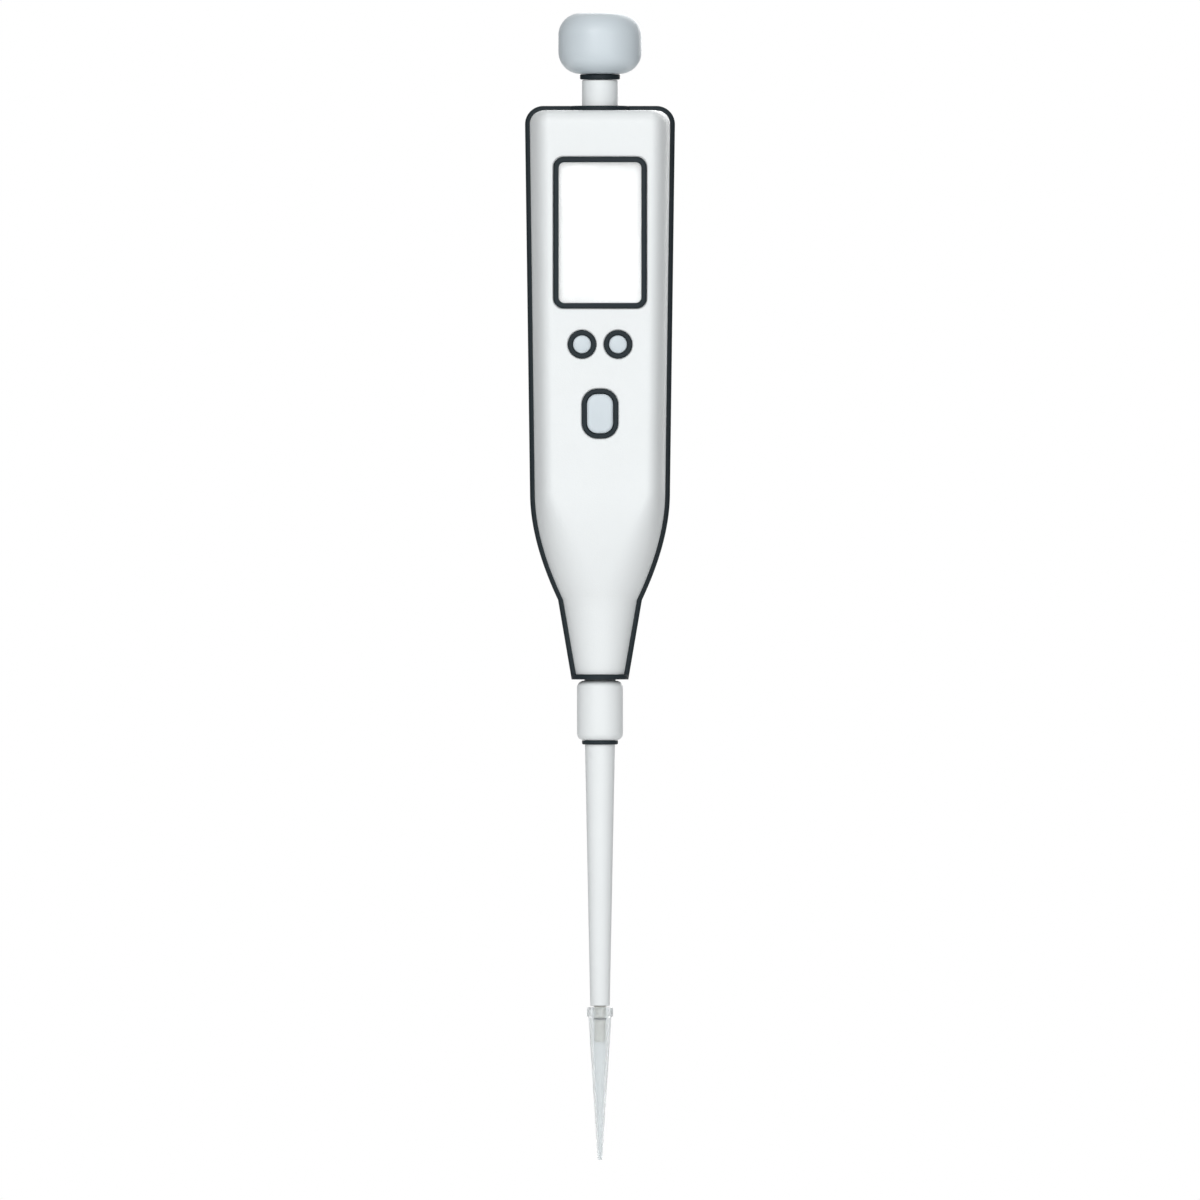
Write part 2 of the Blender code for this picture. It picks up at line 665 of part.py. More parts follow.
# Half shells: an outer form, less a core that leaves the screw posts standing
SCREW_PLACES = [
    (-TOP_SCREW_X, TOP_SCREW_LEVEL),
    (TOP_SCREW_X, TOP_SCREW_LEVEL),
    (-LOW_SCREW_X, LOW_SCREW_LEVEL),
    (LOW_SCREW_X, LOW_SCREW_LEVEL),
]


def half_shell(name, side):
    """The outer form of a half shell and the core that hollows it."""
    shell = add_piece(
        name,
        skin(shell_rings(side, 0, SHELL_TOP, SHELL_EDGE_RADIUS, SHELL_FOOT)),
        assembly,
        PALE,
    )
    core = add_piece(
        name + "_core_tool",
        skin(
            shell_rings(
                side,
                SHELL_WALL,
                CEILING,
                SHELL_EDGE_RADIUS - SHELL_WALL,
                SHELL_FOOT - OUTSIDE,
                overrun=PARTING,
            )
        ),
        assembly,
        None,
    )
    return shell, core


stem_notch = along_z(
    "stem_notch_tool",
    assembly,
    STEM_RING_RADIUS + GAP,
    CEILING - SHELL_WALL,
    BODY_HEIGHT + OUTSIDE,
)

front_shell, front_core = half_shell("front_shell", -1)
front_posts = along_y(
    "front_posts_tool",
    assembly,
    [(POST_RADIUS, FRONT_FACE - OUTSIDE), (POST_RADIUS, FRAME_FRONT - GAP)],
    SCREW_PLACES,
)
THREAD_BORE = SCREW_SHANK_RADIUS + THREAD_GAP
thread_holes = along_y(
    "thread_holes_tool",
    assembly,
    [(THREAD_BORE, FRAME_FRONT - SCREW_BITE - 2 * GAP), (THREAD_BORE, 0)],
    SCREW_PLACES,
)
cut(front_core, front_posts)
cut(front_shell, front_core, stem_notch, thread_holes)

bezel_outline = rounded_outline(BEZEL_HALF_WIDTH, BEZEL_HALF_HEIGHT, BEZEL_CORNER)
display_opening = add_piece(
    "display_opening_tool",
    skin(
        [
            ring_at(
                rounded_outline(
                    BEZEL_HALF_WIDTH + GAP, BEZEL_HALF_HEIGHT + GAP, BEZEL_CORNER + GAP
                ),
                depth,
            )
            for depth in (FRONT_FACE - OUTSIDE, BOARD_FRONT)
        ]
    ),
    assembly,
    None,
    (0, 0, DISPLAY_LEVEL),
)
cut(front_shell, display_opening)

KEY_PLACES = [(-KEY_SPACING / 2, KEY_LEVEL), (KEY_SPACING / 2, KEY_LEVEL)]
KEY_HOLE_RADIUS = KEY_RADIUS + GAP + RING_WIDTH + GAP
key_holes = along_y(
    "key_holes_tool",
    assembly,
    [(KEY_HOLE_RADIUS, FRONT_FACE - OUTSIDE), (KEY_HOLE_RADIUS, BOARD_FRONT)],
    KEY_PLACES,
    ROUND_STEPS,
)
cut(front_shell, key_holes)


def trigger_outline(grow):
    """Outline of the trigger key, grown by an even margin."""
    return rounded_outline(
        TRIGGER_HALF_WIDTH + grow,
        TRIGGER_HALF_HEIGHT + grow,
        TRIGGER_CORNER + grow,
        CORNER_STEPS + 1,
    )


trigger_hole = add_piece(
    "trigger_hole_tool",
    skin(
        [
            ring_at(trigger_outline(RING_WIDTH + 2 * GAP), depth)
            for depth in (FRONT_FACE - OUTSIDE, BOARD_FRONT)
        ]
    ),
    assembly,
    None,
    (0, 0, TRIGGER_LEVEL),
)
cut(front_shell, trigger_hole)

# Rear shell, with flat pads for the hook and the charging contacts
rear_shell, rear_core = half_shell("rear_shell", 1)
hook_pad = add_piece(
    "hook_pad_tool",
    box(
        (-HOOK_PAD_HALF_WIDTH, 0, HOOK_REST_LEVEL - HOOK_BASE_BELOW - GAP),
        (HOOK_PAD_HALF_WIDTH, HOOK_PAD_FACE, HOOK_REST_LEVEL + HOOK_BASE_ABOVE + GAP),
    ),
    assembly,
    None,
)
contact_pad = add_piece(
    "contact_pad_tool",
    box(
        (-CONTACT_PAD_HALF_WIDTH, 0, CONTACT_LEVEL - CONTACT_PAD_HALF_HEIGHT),
        (
            CONTACT_PAD_HALF_WIDTH,
            CONTACT_PAD_FACE,
            CONTACT_LEVEL + CONTACT_PAD_HALF_HEIGHT,
        ),
    ),
    assembly,
    None,
)
rear_posts = along_y(
    "rear_posts_tool",
    assembly,
    [
        (POST_RADIUS, FRAME_BACK + GAP),
        (POST_RADIUS, SCREW_SEAT - SHELL_WALL),
        (POST_HEAD_RADIUS, SCREW_SEAT - SHELL_WALL),
        (POST_HEAD_RADIUS, REAR_DEPTH + OUTSIDE),
    ],
    SCREW_PLACES,
)
SCREW_HOLE = SCREW_SHANK_RADIUS + GAP
screw_holes = along_y(
    "screw_holes_tool",
    assembly,
    [
        (SCREW_HOLE, FRAME_FRONT - GAP),
        (SCREW_HOLE, SCREW_SEAT - GAP),
        (SCREW_HEAD_RADIUS + GAP, SCREW_SEAT - GAP),
        (SCREW_HEAD_RADIUS + GAP, REAR_DEPTH + OUTSIDE),
    ],
    SCREW_PLACES,
)
cut(rear_core, rear_posts)
join(rear_shell, hook_pad, contact_pad)
cut(rear_shell, rear_core, stem_notch, screw_holes)

# Battery cover: the piece of the rear wall that fills the battery opening
battery_opening = add_piece(
    "battery_opening_tool",
    box(
        (-COVER_HALF_WIDTH - GAP, BATTERY_FRONT, COVER_LEVEL - GAP),
        (COVER_HALF_WIDTH + GAP, REAR_DEPTH + OUTSIDE, COVER_LEVEL + COVER_HEIGHT + GAP),
    ),
    assembly,
    None,
)
cut(rear_shell, battery_opening)
cover_keep = add_piece(
    "cover_keep_tool",
    box(
        (-COVER_HALF_WIDTH, BATTERY_FRONT, COVER_LEVEL),
        (COVER_HALF_WIDTH, REAR_DEPTH + OUTSIDE, COVER_LEVEL + COVER_HEIGHT),
    ),
    assembly,
    None,
)
battery_cover = add_piece(
    "battery_cover",
    skin(shell_rings(1, 0, SHELL_TOP, SHELL_EDGE_RADIUS, SHELL_FOOT)),
    assembly,
    PALE,
)
cover_core = add_piece(
    "cover_core_tool",
    skin(
        shell_rings(
            1,
            SHELL_WALL,
            CEILING,
            SHELL_EDGE_RADIUS - SHELL_WALL,
            SHELL_FOOT - OUTSIDE,
            overrun=PARTING,
        )
    ),
    assembly,
    None,
)
grip_dent = along_y(
    "grip_dent_tool",
    assembly,
    [
        (GRIP_DENT_RADIUS, REAR_DEPTH - GRIP_DENT_DEPTH),
        (GRIP_DENT_RADIUS, REAR_DEPTH + OUTSIDE),
    ],
    [(0, COVER_LEVEL + COVER_HEIGHT - GRIP_DENT_RADIUS - SHELL_WALL)],
    ROUND_STEPS,
)
combine(battery_cover, cover_keep, "INTERSECT")
cut(battery_cover, cover_core, grip_dent)

# Finger hook: a curved arm that also hangs on the rail of a stand
hook_base_top = HOOK_BASE_ABOVE
hook_lip_back = HOOK_INNER + HOOK_REACH + HOOK_LIP_THICKNESS
hook_corner = HOOK_THICKNESS - HOOK_EDGE
hook_profile = [(HOOK_FRONT, -HOOK_BASE_BELOW), (HOOK_INNER, -HOOK_BASE_BELOW)]
hook_profile += [(HOOK_INNER, 0), (HOOK_INNER + HOOK_REACH, 0)]
hook_profile += [(HOOK_INNER + HOOK_REACH, -HOOK_LIP_DROP)]
hook_profile += [(hook_lip_back, -HOOK_LIP_DROP)]
hook_profile += arc(
    (hook_lip_back - hook_corner, HOOK_THICKNESS - hook_corner), hook_corner, 0, 90, 4
)
sweep_radius = hook_base_top - HOOK_THICKNESS
hook_profile += arc(
    (HOOK_INNER + sweep_radius, hook_base_top), sweep_radius, 270, 180, 4
)
hook_profile += [(HOOK_FRONT, hook_base_top)]
finger_hook = add_piece(
    "finger_hook",
    skin(
        [
            [(x, depth, height) for depth, height in hook_profile]
            for x in (-HOOK_HALF_WIDTH, HOOK_HALF_WIDTH)
        ]
    ),
    assembly,
    BLUE_GREY,
    (0, 0, HOOK_REST_LEVEL),
)
hook_edges = finger_hook.modifiers.new("soft_edges", "BEVEL")
hook_edges.width = HOOK_EDGE
hook_edges.segments = 2
hook_edges.limit_method = "ANGLE"
hook_edges.angle_limit = math.radians(50)
peg_level = HOOK_REST_LEVEL + (HOOK_BASE_ABOVE - HOOK_BASE_BELOW) / 2
hook_peg = along_y(
    "hook_peg_tool",
    assembly,
    [
        (HOOK_PEG_RADIUS, REAR_DEPTH - SHELL_WALL),
        (HOOK_PEG_RADIUS, HOOK_FRONT + HOOK_BASE_THICKNESS / 2),
    ],
    [(0, peg_level)],
)
PEG_HOLE = HOOK_PEG_RADIUS + GAP
peg_hole = along_y(
    "peg_hole_tool",
    assembly,
    [(PEG_HOLE, BATTERY_FRONT), (PEG_HOLE, REAR_DEPTH + OUTSIDE)],
    [(0, peg_level)],
)
join(finger_hook, hook_peg)
cut(rear_shell, peg_hole)

# Charging contacts: flanged pins held from inside, a little below the pad's face
contact_profile = [(0, 0), (CONTACT_FLANGE_RADIUS, 0)]
contact_profile += [(CONTACT_FLANGE_RADIUS, CONTACT_FLANGE_HEIGHT)]
contact_profile += [(CONTACT_RADIUS, CONTACT_FLANGE_HEIGHT)]
contact_foot = REAR_DEPTH - SHELL_WALL - GAP - CONTACT_FLANGE_HEIGHT
contact_length = CONTACT_PAD_FACE - CONTACT_RECESS - contact_foot
contact_profile += [(CONTACT_RADIUS, contact_length), (0, contact_length)]
CONTACT_BORE = CONTACT_RADIUS + GAP
contact_half_spacing = CONTACT_SPACING / 2
contact_holes = along_y(
    "contact_holes_tool",
    assembly,
    [(CONTACT_BORE, BATTERY_FRONT), (CONTACT_BORE, REAR_DEPTH + OUTSIDE)],
    [(-contact_half_spacing, CONTACT_LEVEL), (contact_half_spacing, CONTACT_LEVEL)],
)
cut(rear_shell, contact_holes)
for name, x in (("left", -contact_half_spacing), ("right", contact_half_spacing)):
    add_piece(
        f"charge_contact_{name}",
        spin_profile(contact_profile, SMALL_STEPS),
        assembly,
        GOLD,
        (x, contact_foot, CONTACT_LEVEL),
        (math.radians(-90), 0, 0),
    )

# Body screws: heads in the rear recesses, ends in the front posts
shank_length = SCREW_SEAT - FRAME_FRONT + SCREW_BITE
screw_profile = [(0, -shank_length), (SCREW_SHANK_RADIUS, -shank_length)]
screw_profile += [(SCREW_SHANK_RADIUS, 0), (SCREW_HEAD_RADIUS, 0)]
screw_profile += arc(
    (SCREW_HEAD_RADIUS - SCREW_HEAD_HEIGHT / 2, SCREW_HEAD_HEIGHT / 2),
    SCREW_HEAD_HEIGHT / 2,
    0,
    90,
    2,
)
screw_profile += [(0, SCREW_HEAD_HEIGHT)]
for number, (x, z) in enumerate(SCREW_PLACES, 1):
    body_screw = add_piece(
        f"body_screw_{number}",
        spin_profile(screw_profile, SMALL_STEPS),
        assembly,
        STEEL,
        (x, SCREW_SEAT, z),
        (math.radians(-90), 0, 0),
    )
    drive_socket = add_piece(
        f"drive_socket_tool_{number}",
        spin_profile(
            disc(SCREW_HEAD_RADIUS / 2, SCREW_HEAD_HEIGHT / 3, 2 * SCREW_HEAD_HEIGHT), 6
        ),
        assembly,
        None,
        (x, SCREW_SEAT, z),
        (math.radians(-90), 0, 0),
    )
    cut(body_screw, drive_socket)

# Display: a dark bezel ring, a clear window in it and a plain white panel behind
window_half_width = BEZEL_HALF_WIDTH - BEZEL_WIDTH
window_half_height = BEZEL_HALF_HEIGHT - BEZEL_WIDTH
window_corner = BEZEL_CORNER - BEZEL_WIDTH + 0.2 * MM
bezel_back = PANEL_FRONT - GAP
bezel_front = FRONT_FACE - BEZEL_PROUD
bezel_inside = rounded_outline(window_half_width, window_half_height, window_corner)
bezel_step = rounded_outline(
    BEZEL_HALF_WIDTH - BEZEL_PROUD / 2,
    BEZEL_HALF_HEIGHT - BEZEL_PROUD / 2,
    BEZEL_CORNER - BEZEL_PROUD / 2,
)
add_piece(
    "display_bezel",
    skin(
        [
            ring_at(bezel_outline, bezel_back),
            ring_at(bezel_outline, bezel_front + BEZEL_PROUD / 2),
            ring_at(bezel_step, bezel_front),
            ring_at(bezel_inside, bezel_front),
            ring_at(bezel_inside, bezel_back),
        ],
        closed=True,
    ),
    assembly,
    SLATE,
    (0, 0, DISPLAY_LEVEL),
)
window_outline = rounded_outline(
    window_half_width - GAP, window_half_height - GAP, window_corner - GAP
)
add_piece(
    "display_window",
    skin(
        [
            ring_at(window_outline, bezel_back),
            ring_at(window_outline, FRONT_FACE - WINDOW_PROUD),
        ]
    ),
    assembly,
    CLEAR,
    (0, 0, DISPLAY_LEVEL),
)
add_piece(
    "display_panel",
    box(
        (-PANEL_HALF_WIDTH, PANEL_FRONT, -PANEL_HALF_HEIGHT),
        (PANEL_HALF_WIDTH, BOARD_FRONT - GAP, PANEL_HALF_HEIGHT),
    ),
    assembly,
    WHITE,
    (0, 0, DISPLAY_LEVEL),
)

# Keypad: one rubber sheet behind the wall, with a dark ring round each key
sheet_front = FRONT_INSIDE + GAP
sheet_back = sheet_front + KEYPAD_SHEET
ring_front = FRONT_FACE - RING_PROUD
sheet_half_width = KEY_SPACING / 2 + KEY_HOLE_RADIUS + KEYPAD_MARGIN / 2
sheet_top = min(
    KEY_LEVEL + KEY_HOLE_RADIUS + KEYPAD_MARGIN,
    DISPLAY_LEVEL - PANEL_HALF_HEIGHT - GAP,
)
sheet_bottom = TRIGGER_LEVEL - TRIGGER_HALF_HEIGHT - RING_WIDTH - KEYPAD_MARGIN
keypad = add_piece(
    "keypad",
    box(
        (-sheet_half_width, sheet_front, sheet_bottom),
        (sheet_half_width, sheet_back, sheet_top),
    ),
    assembly,
    SLATE,
)
RING_BORE = KEY_RADIUS + GAP
key_rings = along_y(
    "key_rings_tool",
    assembly,
    [
        (RING_BORE + RING_WIDTH, ring_front),
        (RING_BORE + RING_WIDTH, sheet_back - KEYPAD_SHEET / 2),
    ],
    KEY_PLACES,
    ROUND_STEPS,
)
key_bores = along_y(
    "key_bores_tool",
    assembly,
    [(RING_BORE, ring_front - OUTSIDE), (RING_BORE, 0)],
    KEY_PLACES,
    ROUND_STEPS,
)
trigger_ring = add_piece(
    "trigger_ring_tool",
    skin(
        [
            ring_at(trigger_outline(GAP + RING_WIDTH), depth)
            for depth in (ring_front, sheet_back - KEYPAD_SHEET / 2)
        ]
    ),
    assembly,
    None,
    (0, 0, TRIGGER_LEVEL),
)
trigger_bore = add_piece(
    "trigger_bore_tool",
    skin([ring_at(trigger_outline(GAP), depth) for depth in (ring_front - OUTSIDE, 0)]),
    assembly,
    None,
    (0, 0, TRIGGER_LEVEL),
)
post_clearance = along_y(
    "post_clearance_tool",
    assembly,
    [(POST_RADIUS + GAP, FRONT_FACE), (POST_RADIUS + GAP, FRAME_FRONT)],
    SCREW_PLACES,
)
join(keypad, key_rings, trigger_ring)
cut(keypad, key_bores, trigger_bore, post_clearance)

# Keys: domed caps with a flange that the sheet holds in. Each turns its local
# height towards the front, so a key's own origin is on its line of travel.
flange_front = sheet_back + GAP
flange_back = flange_front + KEY_FLANGE_THICKNESS
key_length = flange_front - (FRONT_FACE - KEY_PROUD)
key_dome = KEY_RADIUS / 4
key_profile = [(0, -KEY_FLANGE_THICKNESS)]
key_profile += [(KEY_RADIUS + KEY_FLANGE, -KEY_FLANGE_THICKNESS)]
key_profile += [(KEY_RADIUS + KEY_FLANGE, 0), (KEY_RADIUS, 0)]
key_profile += [(KEY_RADIUS, key_length - key_dome)]
key_profile += [(KEY_RADIUS * 0.82, key_length - key_dome * 0.35)]
key_profile += [(KEY_RADIUS * 0.45, key_length), (0, key_length)]
for name, (x, z) in zip(("left", "right"), KEY_PLACES):
    add_piece(
        f"key_{name}",
        spin_profile(key_profile, ROUND_STEPS),
        assembly,
        BLUE_GREY,
        (x, flange_front, z),
        (math.radians(90), 0, 0),
    )
trigger_front = FRONT_FACE - TRIGGER_PROUD - flange_front
trigger_key = add_piece(
    "trigger_key",
    skin(
        [
            ring_at(trigger_outline(KEY_FLANGE), KEY_FLANGE_THICKNESS),
            ring_at(trigger_outline(KEY_FLANGE), 0),
            ring_at(trigger_outline(0), 0),
            ring_at(trigger_outline(0), trigger_front + 0.6 * MM),
            ring_at(trigger_outline(-0.3 * MM), trigger_front + 0.15 * MM),
            ring_at(trigger_outline(-0.9 * MM), trigger_front),
        ]
    ),
    assembly,
    BLUE_GREY,
    (0, flange_front, TRIGGER_LEVEL),
)

# Board, with one switch behind each key
main_board = add_piece(
    "main_board",
    box(
        (-BOARD_HALF_WIDTH, BOARD_FRONT, BOARD_FOOT),
        (BOARD_HALF_WIDTH, BOARD_BACK, BOARD_TOP),
    ),
    assembly,
    GREEN,
)
cut(main_board, post_clearance)
switch_back = BOARD_FRONT - GAP
for name, x, z, travel in (
    ("left", -KEY_SPACING / 2, KEY_LEVEL, KEY_TRAVEL),
    ("right", KEY_SPACING / 2, KEY_LEVEL, KEY_TRAVEL),
    ("trigger", 0, TRIGGER_LEVEL, TRIGGER_TRAVEL),
):
    add_piece(
        f"switch_{name}",
        box(
            (-SWITCH_HALF_WIDTH, flange_back + travel + GAP, -SWITCH_HALF_WIDTH),
            (SWITCH_HALF_WIDTH, switch_back, SWITCH_HALF_WIDTH),
        ),
        assembly,
        STEEL,
        (x, 0, z),
    )

# Inner frame: plates and shelves that carry the board, battery, motor and nozzle
inner_frame = add_piece(
    "inner_frame",
    box(
        (-FRAME_HALF_WIDTH, FRAME_FRONT, MOTOR_SHELF_LEVEL),
        (FRAME_HALF_WIDTH, FRAME_BACK, FRAME_TOP),
    ),
    assembly,
    GREY,
)
frame_socket = along_z(
    "frame_socket_tool", assembly, SOCKET_RADIUS, SOCKET_FOOT, MOTOR_LEVEL - GAP
)
shelf_top = MOTOR_LEVEL - GAP
motor_shelf = add_piece(
    "motor_shelf_tool",
    box(
        (-MOTOR_SHELF_HALF_WIDTH, FRAME_FRONT, MOTOR_SHELF_LEVEL),
        (MOTOR_SHELF_HALF_WIDTH, MOTOR_RADIUS + GAP + FRAME_WALL, shelf_top),
    ),
    assembly,
    None,
)
rear_strut = add_piece(
    "rear_strut_tool",
    box(
        (-MOTOR_RADIUS, MOTOR_RADIUS + GAP, MOTOR_SHELF_LEVEL),
        (MOTOR_RADIUS, MOTOR_RADIUS + GAP + FRAME_WALL, BATTERY_SHELF_TOP),
    ),
    assembly,
    None,
)
battery_shelf = add_piece(
    "battery_shelf_tool",
    box(
        (-BATTERY_HALF_WIDTH, FRAME_FRONT, BATTERY_SHELF_LEVEL),
        (BATTERY_HALF_WIDTH, SHELF_BACK, BATTERY_SHELF_TOP),
    ),
    assembly,
    None,
)
battery_wall = add_piece(
    "battery_wall_tool",
    box(
        (-BATTERY_HALF_WIDTH, BATTERY_WALL_BACK - FRAME_WALL, BATTERY_SHELF_LEVEL),
        (BATTERY_HALF_WIDTH, BATTERY_WALL_BACK, SPRING_SHELF_TOP),
    ),
    assembly,
    None,
)
spring_shelf = add_piece(
    "spring_shelf_tool",
    box(
        (-BATTERY_HALF_WIDTH, FRAME_FRONT, SPRING_SHELF_LEVEL),
        (BATTERY_HALF_WIDTH, BATTERY_WALL_BACK, SPRING_SHELF_TOP),
    ),
    assembly,
    None,
)
spring_seat = along_z(
    "spring_seat_tool",
    assembly,
    SPRING_MEAN_RADIUS - SPRING_WIRE_RADIUS - RUN,
    SPRING_SHELF_LEVEL,
    SPRING_SHELF_TOP + SPRING_SEAT_HEIGHT,
)
bush_bridge = add_piece(
    "bush_bridge_tool",
    box(
        (-BUSH_FLANGE_RADIUS, FRAME_FRONT, FRAME_TOP - SHELF_HEIGHT),
        (BUSH_FLANGE_RADIUS, BUSH_FLANGE_RADIUS - FRAME_WALL, FRAME_TOP),
    ),
    assembly,
    None,
)
join(
    inner_frame,
    frame_socket,
    motor_shelf,
    rear_strut,
    battery_shelf,
    battery_wall,
    spring_shelf,
    spring_seat,
    bush_bridge,
)
for name, side in (("left", -1), ("right", 1)):
    inner_x = FRAME_HALF_WIDTH - 2 * FRAME_WALL
    outer_x = TOP_SCREW_X + POST_RADIUS
    ear = add_piece(
        f"frame_ear_tool_{name}",
        box(
            (min(side * inner_x, side * outer_x), FRAME_FRONT, FRAME_TOP - 4 * MM),
            (
                max(side * inner_x, side * outer_x),
                FRAME_BACK,
                TOP_SCREW_LEVEL + POST_RADIUS,
            ),
        ),
        assembly,
        None,
    )
    join(inner_frame, ear)
socket_bore = along_z(
    "socket_bore_tool",
    assembly,
    SOCKET_BORE,
    NOZZLE_FLANGE_LEVEL - GAP,
    MOTOR_LEVEL + OUTSIDE,
)
ledge_bore = along_z(
    "ledge_bore_tool", assembly, NOZZLE_NECK_RADIUS + GAP, 0, MOTOR_SHELF_LEVEL
)
rail_slot_top = NOZZLE_FLANGE_LEVEL + SOCKET_RADIUS + 3 * MM
rail_slot = add_piece(
    "rail_slot_tool",
    box(
        (-OUTSIDE, -RAIL_HALF_DEPTH - 1.5 * RUN, 0),
        (OUTSIDE, RAIL_HALF_DEPTH + 1.5 * RUN, rail_slot_top),
    ),
    assembly,
    None,
)
ear_slot = add_piece(
    "ear_slot_tool",
    box(
        (-CARRIAGE_EAR_HALF_WIDTH - GAP, 0, CARRIAGE_LEVEL - 2 * GAP),
        (
            CARRIAGE_EAR_HALF_WIDTH + GAP,
            OUTSIDE,
            CARRIAGE_LEVEL + CARRIAGE_HEIGHT + PISTON_TRAVEL + RUN,
        ),
    ),
    assembly,
    None,
)
motor_window = along_z(
    "motor_window_tool",
    assembly,
    MOTOR_RADIUS + GAP,
    MOTOR_LEVEL - GAP,
    BATTERY_SHELF_LEVEL,
)
screw_pass = along_z(
    "screw_pass_tool",
    assembly,
    SCREW_BORE + RUN,
    MOTOR_SHELF_LEVEL,
    BATTERY_SHELF_TOP + OUTSIDE,
)
bush_pass = along_z(
    "bush_pass_tool",
    assembly,
    STEM_BORE + RUN,
    FRAME_TOP - OUTSIDE / 2,
    FRAME_TOP + OUTSIDE,
)
cut(inner_frame, socket_bore, ledge_bore, rail_slot, ear_slot)
cut(inner_frame, motor_window, screw_pass, bush_pass)
ear_holes = along_y(
    "ear_holes_tool",
    assembly,
    [(SCREW_HOLE, FRAME_FRONT - OUTSIDE), (SCREW_HOLE, 0)],
    SCREW_PLACES,
)
cut(inner_frame, ear_holes)

# Battery on its connector, behind the frame's rear wall
battery_middle = BATTERY_FRONT + BATTERY_THICKNESS / 2
battery_outline = rounded_outline(
    BATTERY_HALF_WIDTH, BATTERY_THICKNESS / 2, BATTERY_CORNER
)
add_piece(
    "battery_cell",
    skin([[(x, y, z) for x, y in battery_outline] for z in (0, BATTERY_HEIGHT)]),
    assembly,
    BLUE,
    (0, battery_middle, BATTERY_LEVEL),
)
add_piece(
    "battery_connector",
    box(
        (-CONNECTOR_HALF_WIDTH, BATTERY_FRONT, 0),
        (CONNECTOR_HALF_WIDTH, SHELF_BACK - 2 * GAP, CONNECTOR_HEIGHT),
    ),
    assembly,
    CREAM,
    (0, 0, CONNECTOR_LEVEL),
)

# Motor: case, stator, bearings, rotor with the nut inside, and cover
case_profile = [(JOURNAL_RADIUS, 0), (MOTOR_RADIUS, 0), (MOTOR_RADIUS, MOTOR_HEIGHT)]
case_top = MOTOR_HEIGHT - MOTOR_COVER_HEIGHT - GAP
case_profile[2] = (MOTOR_RADIUS, case_top)
case_profile += [(MOTOR_RADIUS - MOTOR_WALL, case_top)]
case_profile += [(MOTOR_RADIUS - MOTOR_WALL, MOTOR_PLATE_HEIGHT)]
case_profile += [(JOURNAL_RADIUS, MOTOR_PLATE_HEIGHT)]
add_piece(
    "motor_case",
    spin_profile(case_profile, ROUND_STEPS),
    assembly,
    STEEL,
    (0, 0, MOTOR_LEVEL),
)
add_piece(
    "motor_cover",
    spin_profile(
        tube(JOURNAL_RADIUS, MOTOR_RADIUS, 0, MOTOR_COVER_HEIGHT), ROUND_STEPS
    ),
    assembly,
    STEEL,
    (0, 0, MOTOR_LEVEL + case_top + GAP),
)
BEARING_BORE = JOURNAL_RADIUS + GAP
BEARING_RADIUS = BEARING_BORE + BEARING_WALL
lower_bearing = MOTOR_LEVEL + MOTOR_PLATE_HEIGHT + GAP
upper_bearing = MOTOR_LEVEL + case_top - BEARING_HEIGHT
for name, level in (("lower", lower_bearing), ("upper", upper_bearing)):
    add_piece(
        f"motor_bearing_{name}",
        spin_profile(
            tube(BEARING_BORE, BEARING_RADIUS, 0, BEARING_HEIGHT), SMALL_STEPS + 4
        ),
        assembly,
        BRASS,
        (0, 0, level),
    )
rotor_foot = lower_bearing + GAP
rotor_body_foot = lower_bearing + BEARING_HEIGHT + GAP
rotor_body_top = upper_bearing - GAP
rotor_top = upper_bearing + BEARING_HEIGHT
add_piece(
    "motor_stator",
    spin_profile(
        tube(
            BEARING_RADIUS + GAP,
            MOTOR_RADIUS - MOTOR_WALL - GAP,
            lower_bearing,
            rotor_top,
        ),
        ROUND_STEPS,
    ),
    assembly,
    COPPER,
)
rotor_profile = [
    (SCREW_BORE, rotor_foot),
    (JOURNAL_RADIUS, rotor_foot),
    (JOURNAL_RADIUS, rotor_body_foot),
    (ROTOR_RADIUS, rotor_body_foot),
    (ROTOR_RADIUS, rotor_body_top),
    (JOURNAL_RADIUS, rotor_body_top),
    (JOURNAL_RADIUS, rotor_top),
    (SCREW_BORE, rotor_top),
]
add_piece("rotor_nut", spin_profile(rotor_profile, ROUND_STEPS), rotor, BRASS)

# Plunger: lead screw, carriage and piston, which rise together
screw_foot = CARRIAGE_LEVEL + CARRIAGE_HEIGHT / 2
carriage_profile = [(0, 0), (CARRIAGE_RADIUS, 0), (CARRIAGE_RADIUS, CARRIAGE_HEIGHT)]
carriage_profile += [(0, CARRIAGE_HEIGHT)]
piston_carriage = add_piece(
    "piston_carriage",
    spin_profile(carriage_profile, ROUND_STEPS),
    plunger,
    CREAM,
    (0, 0, CARRIAGE_LEVEL),
)
carriage_ear = add_piece(
    "carriage_ear_tool",
    box(
        (-CARRIAGE_EAR_HALF_WIDTH, CARRIAGE_RADIUS / 2, CARRIAGE_LEVEL),
        (
            CARRIAGE_EAR_HALF_WIDTH,
            CARRIAGE_EAR_REACH,
            CARRIAGE_LEVEL + CARRIAGE_HEIGHT,
        ),
    ),
    plunger,
    None,
)
screw_socket = along_z(
    "screw_socket_tool",
    plunger,
    SCREW_RADIUS + GAP,
    screw_foot - GAP,
    CARRIAGE_LEVEL + CARRIAGE_HEIGHT + OUTSIDE,
)
piston_socket = along_z(
    "piston_socket_tool",
    plunger,
    PISTON_RADIUS + GAP,
    CARRIAGE_LEVEL - OUTSIDE,
    screw_foot,
)
join(piston_carriage, carriage_ear)
cut(piston_carriage, screw_socket, piston_socket)
add_piece(
    "lead_screw",
    spin_profile(disc(SCREW_RADIUS, 0, SCREW_LENGTH), ROUND_STEPS),
    plunger,
    STEEL,
    (0, 0, screw_foot),
)
piston_top = screw_foot - GAP
